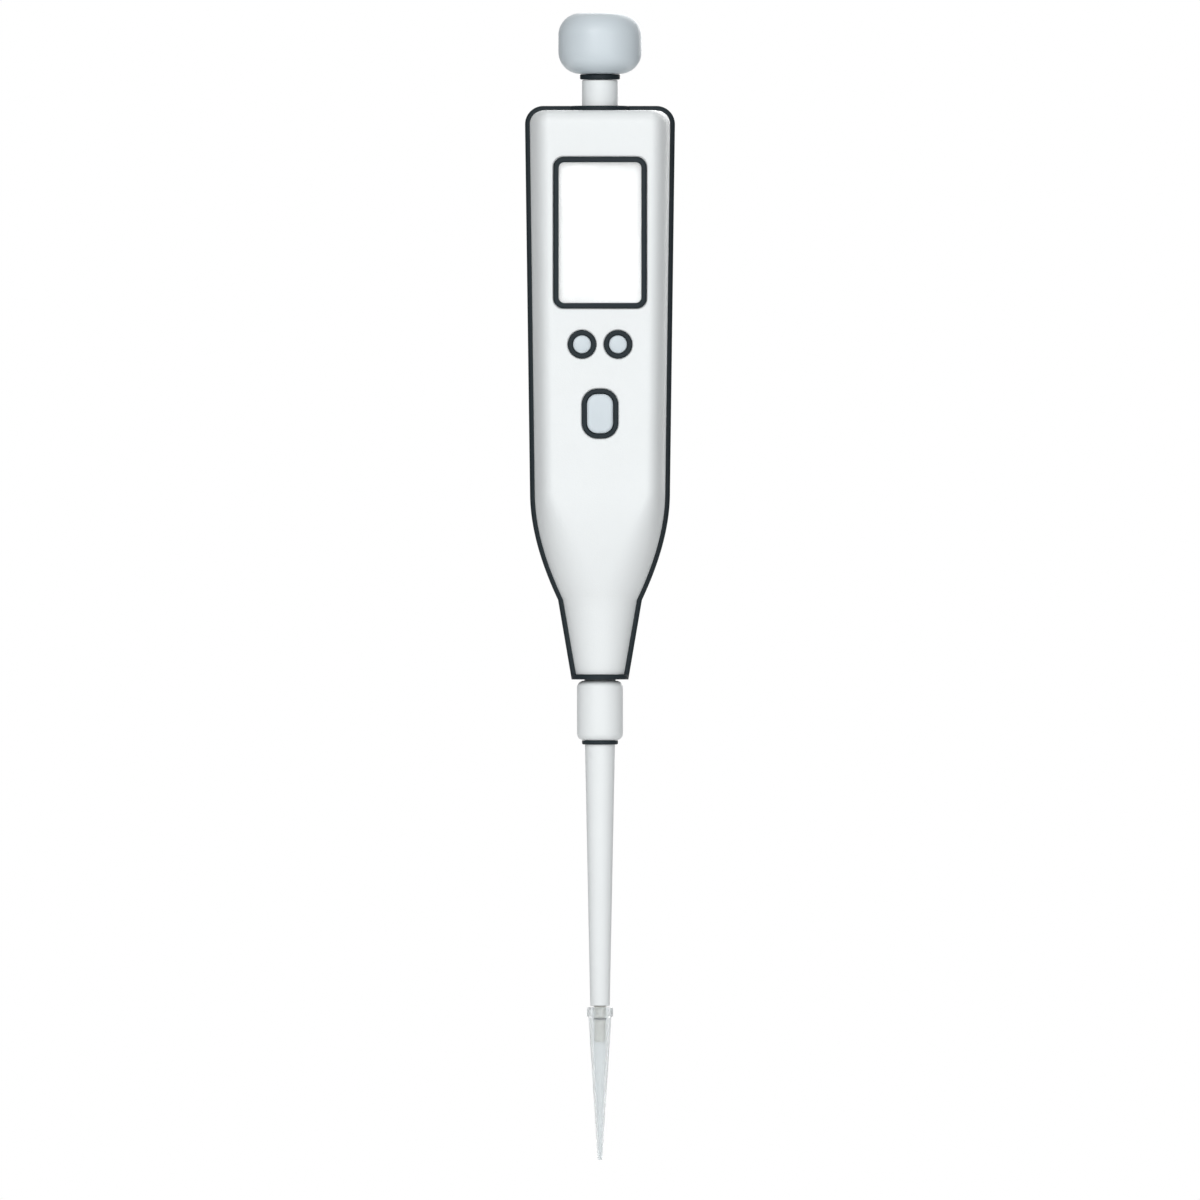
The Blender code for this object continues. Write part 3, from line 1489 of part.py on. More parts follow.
add_piece(
    "piston",
    spin_profile(disc(PISTON_RADIUS, -PISTON_LENGTH, 0), SMALL_STEPS),
    plunger,
    STEEL,
    (0, 0, piston_top),
)

# Nozzle, with the piston's bore above a fine air channel, and its seals
piston_foot = piston_top - PISTON_LENGTH
groove_level = SLEEVE_END - O_RING_BELOW_CONE
cone_drop = (NOZZLE_CONE_RADIUS - NOZZLE_END_RADIUS) / NOZZLE_CONE_LENGTH
groove_half = O_RING_WIRE_RADIUS + GAP / 2
groove_floor = NOZZLE_END_RADIUS - 2 * O_RING_WIRE_RADIUS
groove_edge = NOZZLE_CONE_RADIUS - cone_drop * O_RING_BELOW_CONE
nozzle_profile = [
    (NOZZLE_AIR_RADIUS, NOZZLE_END),
    (NOZZLE_END_RADIUS, NOZZLE_END),
    (groove_edge, groove_level - groove_half),
    (groove_floor, groove_level - groove_half),
    (groove_floor, groove_level + groove_half),
    (groove_edge, groove_level + groove_half),
    (NOZZLE_CONE_RADIUS, SLEEVE_END),
    (NOZZLE_NECK_RADIUS, COLLAR_FOOT),
    (NOZZLE_NECK_RADIUS, NOZZLE_FLANGE_LEVEL),
    (NOZZLE_FLANGE_RADIUS, NOZZLE_FLANGE_LEVEL),
    (NOZZLE_FLANGE_RADIUS, FLANGE_TOP),
    (PISTON_BORE, FLANGE_TOP),
    (PISTON_BORE, piston_foot - 2 * GAP),
    (NOZZLE_AIR_RADIUS, piston_foot - 2 * GAP - PISTON_BORE),
]
add_piece("nozzle", spin_profile(nozzle_profile, ROUND_STEPS), assembly, CREAM)
add_piece(
    "piston_seal",
    spin_profile(
        tube(PISTON_BORE, PISTON_SEAL_RADIUS, 0, PISTON_SEAL_HEIGHT), SMALL_STEPS + 4
    ),
    assembly,
    SLATE,
    (0, 0, PISTON_SEAL_LEVEL),
)
add_piece(
    "seal_gland",
    spin_profile(
        tube(PISTON_BORE + GAP, NOZZLE_FLANGE_RADIUS, 0, GLAND_HEIGHT), ROUND_STEPS
    ),
    assembly,
    BRASS,
    (0, 0, GLAND_LEVEL),
)
o_ring_middle = groove_edge - O_RING_WIRE_RADIUS + GAP / 2
o_ring_profile = arc((o_ring_middle, 0), O_RING_WIRE_RADIUS, 0, 315, 7)
add_piece(
    "nozzle_o_ring",
    spin_profile(o_ring_profile, SMALL_STEPS),
    assembly,
    SLATE,
    (0, 0, groove_level),
)

# Ejector: knob on its stem, a rubber washer and the yoke with its two rails
knob_edge = arc(
    (KNOB_RADIUS - KNOB_EDGE_RADIUS, KNOB_EDGE_RADIUS),
    KNOB_EDGE_RADIUS,
    -90,
    0,
    KNOB_EDGE_STEPS,
)
knob_edge += arc(
    (KNOB_RADIUS - KNOB_EDGE_RADIUS, KNOB_HEIGHT - KNOB_EDGE_RADIUS),
    KNOB_EDGE_RADIUS,
    0,
    90,
    KNOB_EDGE_STEPS,
)
peg_bore = STEM_TOP_PEG_RADIUS + GAP
peg_rise = STEM_TOP + STEM_TOP_PEG_DEPTH - KNOB_LEVEL
knob_profile = [(peg_bore, 0)] + knob_edge + [(0, KNOB_HEIGHT)]
knob_profile += [(0, peg_rise + GAP), (peg_bore, peg_rise + GAP)]
add_piece(
    "ejector_knob",
    spin_profile(knob_profile, ROUND_STEPS + 8),
    ejector,
    BLUE_GREY,
    (0, 0, KNOB_LEVEL),
)
add_piece(
    "knob_washer",
    spin_profile(tube(peg_bore, WASHER_RADIUS, 0, WASHER_HEIGHT), ROUND_STEPS),
    ejector,
    SLATE,
    (0, 0, WASHER_LEVEL),
)
stem_profile = [
    (0, -YOKE_PLATE_HEIGHT),
    (STEM_FOOT_PEG_RADIUS, -YOKE_PLATE_HEIGHT),
    (STEM_FOOT_PEG_RADIUS, 0),
    (STEM_RADIUS, 0),
    (STEM_RADIUS, STEM_LENGTH),
    (STEM_TOP_PEG_RADIUS, STEM_LENGTH),
    (STEM_TOP_PEG_RADIUS, STEM_LENGTH + STEM_TOP_PEG_DEPTH),
    (0, STEM_LENGTH + STEM_TOP_PEG_DEPTH),
]
add_piece(
    "ejector_stem",
    spin_profile(stem_profile, ROUND_STEPS),
    ejector,
    PALE,
    (0, 0, STEM_FOOT),
)
bush_profile = [
    (STEM_BORE, 0),
    (STEM_BORE + BUSH_WALL, 0),
    (STEM_BORE + BUSH_WALL, BUSH_HEIGHT - BUSH_FLANGE_HEIGHT),
    (BUSH_FLANGE_RADIUS, BUSH_HEIGHT - BUSH_FLANGE_HEIGHT),
    (BUSH_FLANGE_RADIUS, BUSH_HEIGHT),
    (STEM_BORE, BUSH_HEIGHT),
]
add_piece(
    "stem_bush",
    spin_profile(bush_profile, ROUND_STEPS),
    assembly,
    CREAM,
    (0, 0, BUSH_FOOT),
)


def rail_outside(height):
    """Outer face of a rail: its corners clear the round wall with the yoke down."""
    inside = shell_half_width(height - EJECT_TRAVEL) - SHELL_WALL
    chord = math.sqrt(inside**2 - RAIL_HALF_DEPTH**2)
    return min(YOKE_HALF_WIDTH, chord - RUN)


def rail_ring(height, side):
    """Cross-section of a rail at one height."""
    outer = side * rail_outside(height)
    inner = outer - side * RAIL_THICKNESS
    depth = RAIL_HALF_DEPTH
    return [
        (outer, -depth, height),
        (outer, depth, height),
        (inner, depth, height),
        (inner, -depth, height),
    ]


def rail_levels():
    """Heights at which a rail bends: it follows the waist, one travel higher."""
    levels = [RAIL_FOOT]
    for level in side_levels(0)[1:-1]:
        levels.append(level + EJECT_TRAVEL)
    levels.append(YOKE_LEVEL + YOKE_PLATE_HEIGHT / 2)
    return levels


ejector_yoke = add_piece(
    "ejector_yoke",
    box(
        (-YOKE_HALF_WIDTH, -YOKE_PLATE_HALF_DEPTH, YOKE_LEVEL),
        (YOKE_HALF_WIDTH, YOKE_PLATE_HALF_DEPTH, YOKE_LEVEL + YOKE_PLATE_HEIGHT),
    ),
    ejector,
    GREY,
)
for name, side in (("left", -1), ("right", 1)):
    rail = add_piece(
        f"rail_tool_{name}",
        skin([rail_ring(height, side) for height in rail_levels()]),
        ejector,
        None,
    )
    join(ejector_yoke, rail)
yoke_ring = along_z(
    "yoke_ring_tool",
    ejector,
    YOKE_RING_RADIUS,
    RAIL_FOOT,
    RAIL_FOOT + YOKE_RING_HEIGHT,
)
yoke_tube = along_z(
    "yoke_tube_tool",
    ejector,
    YOKE_TUBE_RADIUS,
    -YOKE_TUBE_DEPTH,
    RAIL_FOOT + YOKE_RING_HEIGHT / 2,
)
yoke_bore = along_z(
    "yoke_bore_tool",
    ejector,
    YOKE_TUBE_BORE,
    -YOKE_TUBE_DEPTH - OUTSIDE,
    RAIL_FOOT + YOKE_RING_HEIGHT + OUTSIDE,
)
peg_pass = along_z(
    "peg_pass_tool",
    ejector,
    STEM_FOOT_PEG_RADIUS + GAP,
    YOKE_LEVEL - OUTSIDE,
    YOKE_LEVEL + OUTSIDE,
    SMALL_STEPS,
)
join(ejector_yoke, yoke_ring, yoke_tube)
cut(ejector_yoke, yoke_bore, peg_pass)

# Spring that lifts the yoke: a coil with a closed turn at each end


def spring_rings():
    """Wire sections along the coil, from its foot to its top."""
    length = SPRING_TOP - SPRING_FOOT - 2 * SPRING_WIRE_RADIUS
    closed = 2 * SPRING_WIRE_RADIUS + 0.1 * MM
    open_pitch = (length - 2 * closed) / (SPRING_TURNS - 2)
    rings = []
    for step in range(SPRING_TURNS * SPRING_STEPS + 1):
        turns = step / SPRING_STEPS
        rise = closed * min(turns, 1)
        rise += open_pitch * min(max(turns - 1, 0), SPRING_TURNS - 2)
        rise += closed * max(turns - (SPRING_TURNS - 1), 0)
        angle = math.tau * turns
        outward = Vector((math.cos(angle), math.sin(angle), 0))
        middle = outward * SPRING_MEAN_RADIUS + Vector(
            (0, 0, SPRING_WIRE_RADIUS + rise)
        )
        ring = []
        for corner in range(SPRING_WIRE_SIDES):
            turn = math.tau * corner / SPRING_WIRE_SIDES
            offset = outward * math.cos(turn) + Vector((0, 0, math.sin(turn)))
            ring.append(middle + offset * SPRING_WIRE_RADIUS)
        rings.append(ring)
    return rings


add_piece(
    "ejector_spring",
    skin(spring_rings()),
    assembly,
    STEEL,
    (0, 0, SPRING_FOOT),
)

# Collar and sleeve: they hang from the yoke's tube and push the tip off
collar_bore = YOKE_TUBE_RADIUS + GAP
tube_socket = -YOKE_TUBE_DEPTH - GAP - COLLAR_FOOT
sleeve_socket = COLLAR_SLEEVE_DEPTH + GAP
sleeve_bore = SLEEVE_TOP_RADIUS + GAP
collar_profile = [(sleeve_bore, 0)]
collar_profile += arc(
    (COLLAR_RADIUS - COLLAR_EDGE_RADIUS * 0.7, COLLAR_EDGE_RADIUS * 0.7),
    COLLAR_EDGE_RADIUS * 0.7,
    -90,
    0,
    3,
)
collar_profile += arc(
    (COLLAR_RADIUS - COLLAR_EDGE_RADIUS * 0.7, COLLAR_HEIGHT - COLLAR_EDGE_RADIUS * 0.7),
    COLLAR_EDGE_RADIUS * 0.7,
    0,
    90,
    3,
)
collar_profile += [
    (collar_bore, COLLAR_HEIGHT),
    (collar_bore, tube_socket),
    (YOKE_TUBE_BORE, tube_socket),
    (YOKE_TUBE_BORE, sleeve_socket),
    (sleeve_bore, sleeve_socket),
]
add_piece(
    "ejector_collar",
    spin_profile(collar_profile, ROUND_STEPS),
    ejector,
    PALE,
    (0, 0, COLLAR_FOOT),
)
end_ring_profile = [(sleeve_bore, 0), (END_RING_RADIUS - END_RING_HEIGHT / 3, 0)]
end_ring_profile += [(END_RING_RADIUS, END_RING_HEIGHT / 3)]
end_ring_profile += [(END_RING_RADIUS, END_RING_HEIGHT)]
end_ring_profile += [(sleeve_bore, END_RING_HEIGHT)]
add_piece(
    "collar_end_ring",
    spin_profile(end_ring_profile, ROUND_STEPS),
    ejector,
    SLATE,
    (0, 0, END_RING_LEVEL),
)
sleeve_profile = [
    (SLEEVE_END_RADIUS - SLEEVE_WALL, 0),
    (SLEEVE_END_RADIUS, 0),
    (SLEEVE_TOP_RADIUS, SLEEVE_SHOWN),
    (SLEEVE_TOP_RADIUS, SLEEVE_TOP - SLEEVE_END),
    (SLEEVE_TOP_RADIUS - SLEEVE_WALL, SLEEVE_TOP - SLEEVE_END),
    (SLEEVE_TOP_RADIUS - SLEEVE_WALL, SLEEVE_SHOWN),
]
add_piece(
    "ejector_sleeve",
    spin_profile(sleeve_profile, ROUND_STEPS),
    ejector,
    PALE,
    (0, 0, SLEEVE_END),
)

# Disposable tip on the nozzle's cone
tip_mouth = NOZZLE_CONE_RADIUS + GAP + THREAD_GAP / 2
tip_slope = (TIP_RIM_RADIUS - TIP_END_RADIUS) / TIP_LENGTH
cone_depth = NOZZLE_CONE_LENGTH + GAP
bore_below_cone = tip_mouth - cone_drop * cone_depth
tip_profile = [
    (TIP_END_BORE, -TIP_LENGTH),
    (TIP_END_RADIUS, -TIP_LENGTH),
    (TIP_RIM_RADIUS - tip_slope * TIP_RIM_HEIGHT - GAP, -TIP_RIM_HEIGHT),
    (TIP_RIM_RADIUS - tip_slope * TIP_RIM_HEIGHT, -TIP_RIM_HEIGHT),
    (TIP_RIM_RADIUS, 0),
    (tip_mouth, 0),
    (bore_below_cone, -cone_depth),
]
add_piece(
    "pipette_tip",
    spin_profile(tip_profile, ROUND_STEPS),
    tip_holder,
    FROSTED,
    (0, 0, TIP_TOP),
)
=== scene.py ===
# %% [markdown]
# # An electronic pipette, dressed over its working parts
#
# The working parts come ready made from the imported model, each in its place, and
# they decide where everything is. This script puts finer skins over the ones that
# show and gives every piece its finish. Lengths below are in millimetres, counted
# from the piston's axis and from the foot of the body, because that is how the
# part is drawn. The front, with the display, faces -Y.

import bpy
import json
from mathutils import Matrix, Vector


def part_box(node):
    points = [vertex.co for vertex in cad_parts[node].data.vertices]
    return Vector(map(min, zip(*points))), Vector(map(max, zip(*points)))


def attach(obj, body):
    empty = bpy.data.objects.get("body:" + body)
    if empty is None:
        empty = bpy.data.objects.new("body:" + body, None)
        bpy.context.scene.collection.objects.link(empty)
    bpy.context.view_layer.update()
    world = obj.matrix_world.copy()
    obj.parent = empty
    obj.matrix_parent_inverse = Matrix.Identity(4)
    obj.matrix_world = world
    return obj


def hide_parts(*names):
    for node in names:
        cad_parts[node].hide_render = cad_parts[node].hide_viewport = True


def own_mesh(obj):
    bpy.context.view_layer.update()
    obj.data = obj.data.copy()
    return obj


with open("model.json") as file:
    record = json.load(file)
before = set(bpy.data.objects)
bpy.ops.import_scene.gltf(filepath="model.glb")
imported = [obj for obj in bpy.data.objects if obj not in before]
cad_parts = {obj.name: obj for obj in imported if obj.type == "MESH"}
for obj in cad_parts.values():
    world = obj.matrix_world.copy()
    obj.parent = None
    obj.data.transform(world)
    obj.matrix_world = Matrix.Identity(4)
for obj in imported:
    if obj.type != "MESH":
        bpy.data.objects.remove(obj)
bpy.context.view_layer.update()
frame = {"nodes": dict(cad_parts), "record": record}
nodes = frame["nodes"]
print("working parts:", len(nodes))

# %% [markdown]
# ## Places and sizes
#
# Every place is written once in the part's own millimetres. One function turns it
# into a place in the scene, and another reads how far a working part reaches, so
# a skin lands exactly on the part that carries it.

# %% From the part's millimetres to the scene
import json
import math

import bpy
from mathutils import Vector

MM = 0.001
AXIS_DEPTH = -25.6
FOOT_LEVEL = -118.0


def at(x, depth, height):
    """A place given in millimetres from the piston's axis and the body's foot."""
    return Vector((x, AXIS_DEPTH + depth, FOOT_LEVEL + height)) * MM


def reach_of(node):
    """Lowest and highest corner of a working part, in the part's millimetres."""
    return [(Vector(corner) - at(0, 0, 0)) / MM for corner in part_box(node)]


knob_low, knob_high = reach_of("ejector_knob")
print("the knob reaches from", round(knob_low.z, 1), "to", round(knob_high.z, 1))

# %% [markdown]
# ## The camera
#
# The picture is a flat drawing with no perspective. An orthographic camera would
# match it exactly, but no real camera sees like that. A very long lens, far away,
# comes within a pixel of it. The picture is 1200 pixels wide, and one pixel is a
# quarter of a millimetre on the part.

# %% A long lens straight in front
LENS = 1200.0
SENSOR = 36.0
VIEW_WIDTH = 300.0
VIEW_MIDDLE = 19.875
camera_data = bpy.data.cameras.new("camera")
camera_data.lens = LENS
camera_data.sensor_width = SENSOR
camera_data.clip_start = 0.1
camera_data.clip_end = 50.0
camera = bpy.data.objects.new("camera", camera_data)
bpy.context.scene.collection.objects.link(camera)
bpy.context.scene.camera = camera
camera.location = at(0, -VIEW_WIDTH * LENS / SENSOR, VIEW_MIDDLE)
camera.rotation_euler = (math.radians(90), 0, 0)
print("camera distance in m:", round(VIEW_WIDTH * LENS / SENSOR * MM, 3))

# %% [markdown]
# ## Finishes
#
# A moulded plastic isn't one flat colour. Its mould was spark eroded, so the skin
# has a fine even grain, and the colour drifts a little where the melt flowed. Both
# come from noise in the piece's own coordinates, so the grain has one size
# everywhere and needs no unwrapping. A picture texture would do the same, but it
# would be another file and it would stretch.

# %% Helpers for nodes
def add_node(owner, kind, **values):
    """A node with its named sockets set. The owner is a material or the world."""
    node = owner.node_tree.nodes.new(kind)
    for socket, value in values.items():
        node.inputs[socket.replace("_", " ")].default_value = value
    return node


def wire(owner, source, target):
    owner.node_tree.links.new(source, target)


def noise_on(material, size, detail=2.0, stretch=None):
    """Noise whose blobs are about size millimetres across, fixed to the piece."""
    source = add_node(material, "ShaderNodeTexCoord").outputs["Object"]
    noise = add_node(material, "ShaderNodeTexNoise", Scale=1 / (size * MM), Detail=detail)
    if stretch:
        mapping = add_node(material, "ShaderNodeMapping", Scale=stretch)
        wire(material, source, mapping.inputs["Vector"])
        source = mapping.outputs["Vector"]
    wire(material, source, noise.inputs["Vector"])
    return noise.outputs["Fac"]


# %% Helpers for colour, gloss and grain
# A Mix node has sockets of the same names for numbers, vectors and colours, so the
# ones for colours are found by their numbers.
FACTOR, COLOUR_A, COLOUR_B, MIXED_COLOUR = 0, 6, 7, 2


def drift(material, shader, colour, size, share):
    """Lets the colour drift between a little darker and a little lighter."""
    mix = material.node_tree.nodes.new("ShaderNodeMix")
    mix.data_type = "RGBA"
    mix.inputs[COLOUR_A].default_value = (*[c * (1 - share) for c in colour], 1)
    mix.inputs[COLOUR_B].default_value = (*[min(c * (1 + share), 1) for c in colour], 1)
    wire(material, noise_on(material, size, detail=3.0), mix.inputs[FACTOR])
    wire(material, mix.outputs[MIXED_COLOUR], shader.inputs["Base Color"])


def polish(material, shader, size, low, high, stretch=None):
    """Lets the gloss drift between two values, as handled plastic does."""
    gloss = add_node(material, "ShaderNodeMapRange", To_Min=low, To_Max=high)
    source = noise_on(material, size, detail=3.0, stretch=stretch)
    wire(material, source, gloss.inputs["Value"])
    wire(material, gloss.outputs["Result"], shader.inputs["Roughness"])


def grain(material, shader, size, height, strength=0.7, stretch=None):
    """A fine relief on the skin, with bumps of one size and one height."""
    bump = add_node(material, "ShaderNodeBump", Strength=strength, Distance=height * MM)
    wire(material, noise_on(material, size, stretch=stretch), bump.inputs["Height"])
    wire(material, bump.outputs["Normal"], shader.inputs["Normal"])


# %% The finishes of the skins
def finish_of(name, colour, **sockets):
    """A new finish with its colour and other plain values on the shader itself."""
    material = bpy.data.materials.new(name)
    material.use_nodes = True
    material.diffuse_color = (*colour, 1)
    shader = material.node_tree.nodes["Principled BSDF"]
    shader.inputs["Base Color"].default_value = (*colour, 1)
    for socket, value in sockets.items():
        shader.inputs[socket.replace("_", " ")].default_value = value
    return material, shader


COLOUR_PATCH, GLOSS_PATCH = 14.0, 9.0


def moulded(name, colour, gloss, skin=(0.32, 0.050), share=0.015, **sockets):
    """A moulded plastic: drifting colour, drifting gloss and a spark-eroded skin.
    skin gives the size and the height of its grain, in millimetres."""
    material, shader = finish_of(name, colour, **sockets)
    drift(material, shader, colour, COLOUR_PATCH, share)
    polish(material, shader, GLOSS_PATCH, *gloss)
    grain(material, shader, *skin)
    return material


PALE = (0.863, 0.896, 0.904)
BLUE_GREY = (0.651, 0.723, 0.768)
SLATE = (0.012, 0.020, 0.025)
pale_plastic = moulded("pale_plastic", PALE, (0.40, 0.50))
smooth_pale = moulded(
    "smooth_pale_plastic", PALE, (0.42, 0.50), (0.6, 0.010), Specular_IOR_Level=0.35
)
blue_grey_plastic = moulded("blue_grey_plastic", BLUE_GREY, (0.34, 0.44), (0.25, 0.035))
slate_rubber = moulded(
    "slate_rubber", SLATE, (0.55, 0.68), (0.22, 0.035), 0.08, Specular_IOR_Level=0.25
)
print("finishes:", [m.name for m in bpy.data.materials])

# %% [markdown]
# Clear plastic lets the light through its whole wall. The display window is hard
# and polished. A disposable tip is softer and a little milky, so it scatters more.
# A see-through surface without a body would look like film. Both pieces have real
# walls here, so the shader's transmission can bend the light in them.

# %% Clear plastics
def clear_plastic(name, colour, gloss, size, **sockets):
    """A see-through plastic whose polish is a little uneven."""
    material, shader = finish_of(name, colour, **sockets)
    polish(material, shader, size, *gloss)
    return material


window_plastic = clear_plastic(
    "clear_window", (0.97, 0.98, 0.98), (0.02, 0.06), 6.0, Transmission_Weight=1.0, IOR=1.3
)
tip_plastic = clear_plastic(
    "tip_plastic", (0.84, 0.87, 0.88), (0.14, 0.22), 2.0, Transmission_Weight=0.85, IOR=1.45
)
print("clear plastics:", window_plastic.name, tip_plastic.name)

# %% [markdown]
# ## Turned pieces
#
# Knob, stem, collar, sleeve and tip are all round. On a lathe, a round piece comes
# from half of its section, and here it does too: one vertex is extruded along the
# half section, and the Spin operator sweeps the line once round the axis. A
# cylinder pushed into shape would need every ring placed by hand.

# %% Draw a line
def alone(piece):
    """Selects only this piece and makes it the active one."""
    bpy.ops.object.select_all(action="DESELECT")
    piece.select_set(True)
    bpy.context.view_layer.objects.active = piece


def draw(name, places):
    """A new piece that is one line through the places, left in edit mode."""
    bpy.ops.object.select_all(action="DESELECT")
    bpy.ops.mesh.primitive_plane_add(size=MM, location=places[0])
    piece = bpy.context.object
    piece.name = piece.data.name = name
    bpy.ops.object.mode_set(mode="EDIT")
    bpy.ops.mesh.select_all(action="SELECT")
    bpy.ops.mesh.merge(type="CENTER")
    for here, there in zip(places, places[1:]):
        bpy.ops.mesh.extrude_region_move(TRANSFORM_OT_translate={"value": there - here})
    return piece


HAIR = 0.001 * MM


def settle(piece):
    """Merges what lies closer than a hair, turns faces outwards and moves the
    origin to the scene's."""
    bpy.ops.object.mode_set(mode="OBJECT")
    alone(piece)
    bpy.ops.object.transform_apply(location=True, rotation=True, scale=True)
    bpy.ops.object.mode_set(mode="EDIT")
    bpy.ops.mesh.select_mode(type="VERT")
    bpy.ops.mesh.select_all(action="SELECT")
    bpy.ops.mesh.remove_doubles(threshold=HAIR)
    bpy.ops.mesh.dissolve_degenerate(threshold=HAIR)
    bpy.ops.mesh.normals_make_consistent(inside=False)
    bpy.ops.object.mode_set(mode="OBJECT")
    return piece


# %% Spin a half section
def arc(radius_at, height_at, radius, start, end, steps=10):
    """Points on an arc of a half section, with angles in degrees."""
    points = []
    for step in range(steps + 1):
        angle = math.radians(start + (end - start) * step / steps)
        out, up = radius * math.cos(angle), radius * math.sin(angle)
        points.append((radius_at + out, height_at + up))
    return points


def turned(name, section, steps=96, middle=None):
    """Spins a half section round the part's own axis. With middle=(x, height) it
    spins round a line from the front to the back, and the section gives depths."""
    if middle is None:
        places = [at(radius, 0, height) for radius, height in section]
        centre, axis = at(0, 0, 0), (0, 0, 1)
    else:
        x, height = middle
        places = [at(x + radius, depth, height) for radius, depth in section]
        centre, axis = at(x, 0, height), (0, 1, 0)
    piece = draw(name, places)
    bpy.ops.mesh.select_all(action="SELECT")
    bpy.ops.mesh.spin(steps=steps, angle=2 * math.pi, center=centre, axis=axis)
    return settle(piece)


# %% Finish a piece
def change(piece, kind, **values):
    """Adds a modifier with its values and applies it at once."""
    alone(piece)
    modifier = piece.modifiers.new(kind.lower(), kind)
    for key, value in values.items():
        setattr(modifier, key, value)
    bpy.ops.object.modifier_apply(modifier=modifier.name)


def soften(piece, width, segments=3, angle=40):
    """Rounds every edge that is sharper than the angle."""
    values = {"width": width * MM, "segments": segments, "limit_method": "ANGLE"}
    change(piece, "BEVEL", angle_limit=math.radians(angle), **values)


def done(piece, body, finish, slot, *stands_for):
    """Shades a finished piece, gives it its finish and hangs it on its body."""
    alone(piece)
    bpy.ops.object.shade_smooth_by_angle(angle=math.radians(35))
    piece.data.materials.clear()
    piece.data.materials.append(finish)
    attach(piece, body)
    if stands_for:
        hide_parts(*stands_for)
    size = [round(side / MM, 1) for side in piece.dimensions]
    print(piece.name, "faces:", len(piece.data.polygons), "size:", size)


# %% [markdown]
# ## Knob, washer and stem
#
# The knob is a soft blue-grey button that the thumb pushes to throw the tip off.
# Under it, a rubber washer stops it on the stem. A flattened sphere would look
# alike, but it has no straight side. The knob's rounded edges are so large that
# they almost meet, so its section is drawn as two arcs. The section starts and
# ends on the axis, where the Spin closes it.

# %% Turn the knob, the washer and the stem
knob_section = [(0, 157.0), (2.9, 157.0), (2.9, 151.4)]
knob_section += arc(4.9, 156.9, 5.5, -90, 0, 16) + arc(4.9, 161.1, 5.5, 0, 90, 16)
knob_section += [(0, 166.6)]
knob = turned("knob", knob_section, 128)
done(knob, "ejector", blue_grey_plastic, "blue_grey_plastic", "ejector_knob")

washer_section = [(2.9, 150.0), (4.8, 150.0), (5.0, 150.2), (5.0, 151.1)]
washer_section += [(4.8, 151.3), (2.9, 151.3), (2.9, 150.0)]
washer = turned("washer", washer_section)
done(washer, "ejector", slate_rubber, "slate_rubber", "knob_washer")

stem_section = [(0, 124.3), (4.1, 124.3), (4.5, 124.7), (4.5, 149.5)]
stem_section += arc(4.1, 149.5, 0.4, 0, 90, 4) + [(2.6, 149.9), (2.6, 156.5), (0, 156.5)]
stem = turned("stem", stem_section)
done(stem, "ejector", smooth_pale, "pale_shell", "ejector_stem")

# %% [markdown]
# ## Collar, end ring and sleeve
#
# The collar hangs under the body and moves with the knob. The long tapered sleeve
# goes up into it, and a rubber ring closes the joint. A cone with a Solidify
# modifier would have the same wall everywhere. A section that goes down outside
# and up again inside gives the wall its own taper, and the sleeve's open end shows
# as a rim and not as a solid stub.

# %% Turn the collar, the end ring and the sleeve
collar_section = [(4.05, -15.2)] + arc(4.0, -13.45, 1.75, -90, 0)
collar_section += arc(4.0, -2.05, 1.75, 0, 90) + [(4.2, -0.3), (4.2, -4.6)]
collar_section += [(3.0, -4.6), (3.0, -11.5), (4.05, -11.5), (4.05, -15.2)]
collar = turned("collar", collar_section)
done(collar, "ejector", smooth_pale, "pale_shell", "ejector_collar")

ring_section = [(3.8, -16.25), (4.2, -16.25), (4.45, -16.1), (4.5, -15.95)]
ring_section += [(4.5, -15.25), (3.8, -15.25), (3.8, -16.25)]
end_ring = turned("end_ring", ring_section)
done(end_ring, "ejector", slate_rubber, "slate_rubber", "collar_end_ring")

sleeve_section = [(1.85, -81.55)] + arc(2.3, -81.4, 0.15, -90, 0, 3)
sleeve_section += [(3.75, -16.25), (3.75, -11.8), (3.15, -11.8)]
sleeve_section += [(3.15, -16.25), (1.85, -81.55)]
sleeve = turned("sleeve", sleeve_section)
done(sleeve, "ejector", smooth_pale, "pale_shell", "ejector_sleeve")

# %% [markdown]
# ## Nozzle and its ring
#
# Inside the sleeve stands the nozzle, with the piston's bore and a fine air
# channel. The tip is pushed onto its cone, where a rubber ring in a groove makes
# the joint tight. It shows when the tip is off, so it is turned as finely as the
# sleeve. The ring could be a torus primitive. Turning a full circle does the same
# with the helper that is already here.

# %% Turn the nozzle and the ring in its groove
nozzle_section = [(0.5, -90.55), (1.2, -90.55), (1.36, -90.4), (1.44, -85.13)]
nozzle_section += [(0.89, -85.13), (0.89, -84.37), (1.45, -84.37), (1.5, -81.55)]
nozzle_section += [(2.6, -15.2), (2.6, 16.3), (4.0, 16.3), (4.0, 18.0)]
nozzle_section += [(1.05, 18.0), (1.05, -26.7), (0.5, -27.75), (0.5, -90.55)]
nozzle = turned("nozzle_skin", nozzle_section, 64)
cream_plastic = moulded("cream_plastic", (0.78, 0.76, 0.70), (0.30, 0.42), (0.5, 0.006))
done(nozzle, "housing", cream_plastic, "cream_acetal", "nozzle")
o_ring = turned("o_ring", arc(1.367, -84.75, 0.23, 0, 360, 12), 64)
done(o_ring, "housing", slate_rubber, "slate_rubber", "nozzle_o_ring")

# %% [markdown]
# ## The outline of the body
#
# From the front, the body is a long box that narrows a little downwards, curves in
# at the waist and ends in a cone. A list of traced points would give each piece its
# own small errors. Here the waist is a curve with one control point, so its half
# width and its height come from the same share along that curve. The seal and both
# shells ask this one function, and so they always fit each other.

